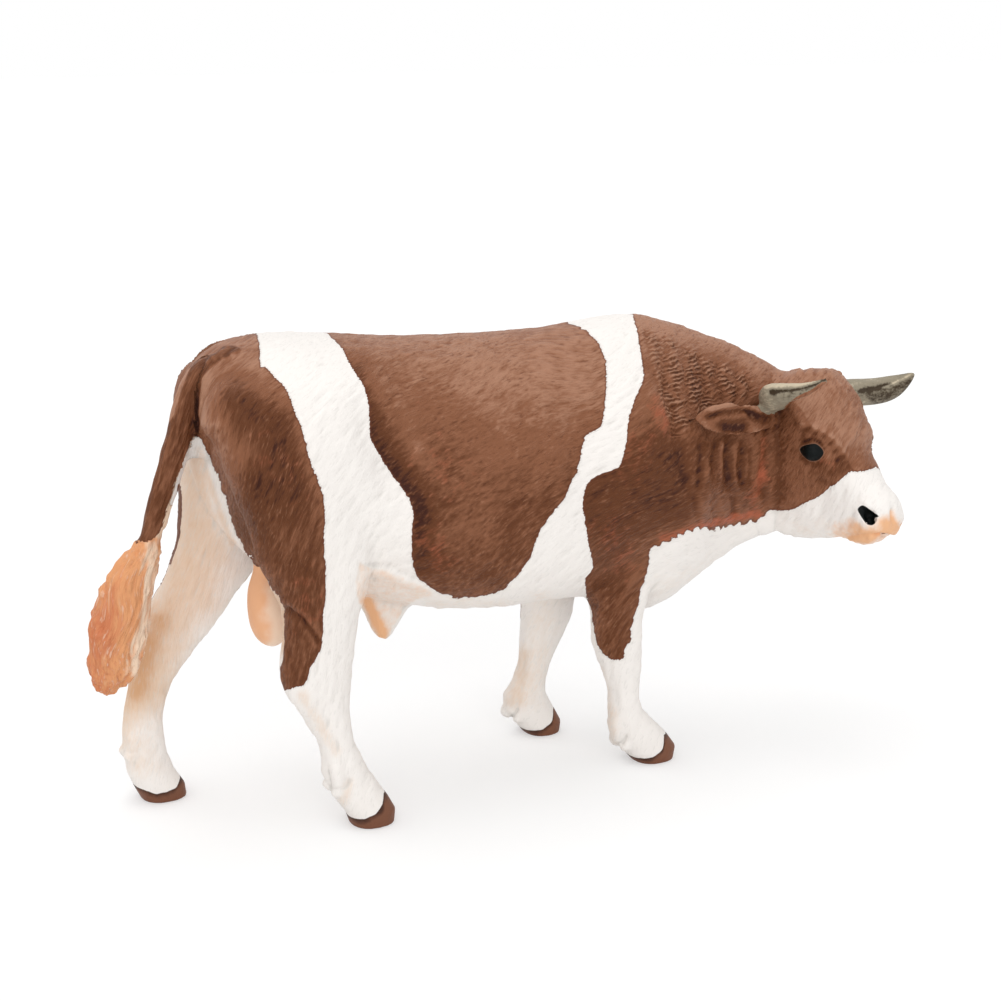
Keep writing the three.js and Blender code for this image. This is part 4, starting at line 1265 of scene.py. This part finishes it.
def skin_material():
    made = new_material("bare_skin")
    patches = made.vary(made.attribute("cream"), made.noise(300, 3), 1.2)
    colour = made.tint(SKIN_PEACH, SKIN_PALE, patches, 0.1, 0.9)
    return made.finish(colour, 0.45, made.noise(900, 3), 0.05, **SATIN)


coat, horn, brush, bare_skin = coat_material(), horn_material(), tail_material(), skin_material()
PIECES = {name: (coat, "hide_white") for name in ["head", *LEGS]}
PIECES |= {name: (coat, "hide_brown") for name in ["torso", *EARS]}
PIECES |= {name: (horn, "horn") for name in HORNS}
PIECES |= {"tail": (brush, "tail_hair"), "scrotum": (bare_skin, "skin")}


# Pieces
def rim_loops(quads):
    """The open edges of some faces, end to end."""
    taken = set(map(tuple, sides_of(quads).tolist()))
    following = {}
    for start, end in taken:
        if (end, start) not in taken:
            following.setdefault(end, []).append(start)
    loops = []
    while following:
        start = next(iter(following))
        loop = [start]
        while True:
            onward = following[loop[-1]]
            step = onward.pop()
            if not onward:
                del following[loop[-1]]
            if step == loop[0]:
                break
            loop.append(step)
        loops.append(loop)
    return loops


def keep_values(mesh, source):
    """Copies the skin's values onto a piece, by the skin point that each is taken from."""
    for key, value in values.items():
        vector = value.ndim == 2
        layer = mesh.attributes.new(key, "FLOAT_VECTOR" if vector else "FLOAT", "POINT")
        data = value[source].astype(np.float32)
        layer.data.foreach_set("vector" if vector else "value", data.ravel())


# The closing faces of a cut go straight in from the rim, then meet in one point, in mm
STEP_IN = 0.6
CAP_DEPTH = 0.9


def cut_piece(name):
    """The part of the skin that covers one CAD node, closed inside the figure."""
    quads = skin.quads[owner_of_face == LABEL[name]]
    used, place = np.unique(quads, return_inverse=True)
    quads = place.reshape(-1, 4)
    points = list(skin.points[used])
    ways = list(skin.normals[used])
    faces, source = quads.tolist(), used.tolist()
    for loop in rim_loops(quads):
        rim, out = (np.array([table[k] for k in loop]) for table in (points, ways))
        middle, way_out = rim.mean(0), out.mean(0)
        radius = np.linalg.norm(rim - middle, axis=1).mean()
        ring = range(len(points), len(points) + len(loop))
        hub = ring.stop
        points += [*(rim - min(STEP_IN, radius / 2) * out)]
        points.append(middle - CAP_DEPTH * radius * way_out)
        ways += [*out, way_out]
        source += [source[k] for k in [*loop, loop[0]]]
        for k, a in enumerate(loop):
            after = (k + 1) % len(loop)
            faces.append([a, loop[after], ring[after], ring[k]])
            faces.append([ring[k], ring[after], hub])
    mesh = bpy.data.meshes.new("bull_" + name)
    mesh.from_pydata(((np.array(points) + TRUNK_ORIGIN) * MM).tolist(), [], faces)
    mesh.polygons.foreach_set("use_smooth", [True] * len(faces))
    mesh.update()
    keep_values(mesh, source)
    mesh.normals_split_custom_set_from_vertices(np.array(ways).tolist())
    made = in_scene("bull_" + name, mesh)
    material, slot = PIECES[name]
    mesh.materials.append(material)
    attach(made, "root")
    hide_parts(name)


owner_of_face = np.sort(label[skin.quads], axis=1)[:, 1]
for name in NODES:
    cut_piece(name)


# Stage
def make_camera():
    data = bpy.data.cameras.new("camera")
    data.sensor_width = SENSOR_MM
    data.lens = FOCAL_PX / PHOTO_SIZE * SENSOR_MM
    data.clip_start, data.clip_end = 0.01, 20
    camera = in_scene("camera", data)
    turn = np.stack([IMAGE_RIGHT, IMAGE_UP, TO_CAMERA], -1)
    place = Matrix(turn.tolist()).to_4x4()
    place.translation = Vector((CAMERA + TRUNK_ORIGIN) * MM)
    camera.matrix_world = place
    bpy.context.scene.camera = camera


PURE_WHITE = (1, 1, 1, 1)
WORLD_STRENGTH = 0.62
# Wide soft lights: the way each comes from, its spread in degrees and its strength
SUNS = [((-0.35, -0.9, 0.4), 60, 0.9), ((-0.15, 0.1, 1), 50, 0.95)]
FLOOR_SIZE = 3
FLOOR_COLOUR = (0.86, 0.86, 0.86, 1)
# As the camera sees it: how much of the shadow shows, and the even white added
SHADOW_COLOUR = (0.6, 0.6, 0.6, 1)
FLOOR_GLOW = 0.45


def make_world():
    world = bpy.data.worlds.new("studio")
    made = Nodes(world)
    lit = made.node("ShaderNodeBackground", Color=PURE_WHITE, Strength=WORLD_STRENGTH)
    plain = made.node("ShaderNodeBackground", Color=PURE_WHITE)
    both = made.seen_or_lit(plain.outputs[0], lit.outputs[0])
    made.end("ShaderNodeOutputWorld", both)
    bpy.context.scene.world = world


def make_floor():
    corners = np.array([(-1, -1, 0), (1, -1, 0), (1, 1, 0), (-1, 1, 0)], float)
    floor = new_object("floor", corners * FLOOR_SIZE, np.array([[0, 1, 2, 3]]))
    made = new_material("floor")
    matt = made.node("ShaderNodeBsdfDiffuse", Color=FLOOR_COLOUR).outputs[0]
    shadow = made.node("ShaderNodeBsdfDiffuse", Color=SHADOW_COLOUR).outputs[0]
    glow = made.node("ShaderNodeEmission", Color=PURE_WHITE, Strength=FLOOR_GLOW).outputs[0]
    seen_floor = made.joined("ShaderNodeAddShader", shadow, glow)
    made.end("ShaderNodeOutputMaterial", made.seen_or_lit(seen_floor, matt))
    floor.data.materials.append(made.owner)


def make_sun(way, spread, strength):
    data = bpy.data.lights.new("softbox", "SUN")
    data.angle = np.radians(spread)
    data.energy = strength
    lamp = in_scene("softbox", data)
    lamp.matrix_world = Vector(way).to_track_quat("Z", "Y").to_matrix().to_4x4()


make_camera()
make_world()
make_floor()
for sun in SUNS:
    make_sun(*sun)

bpy.context.scene.view_settings.view_transform = "Standard"
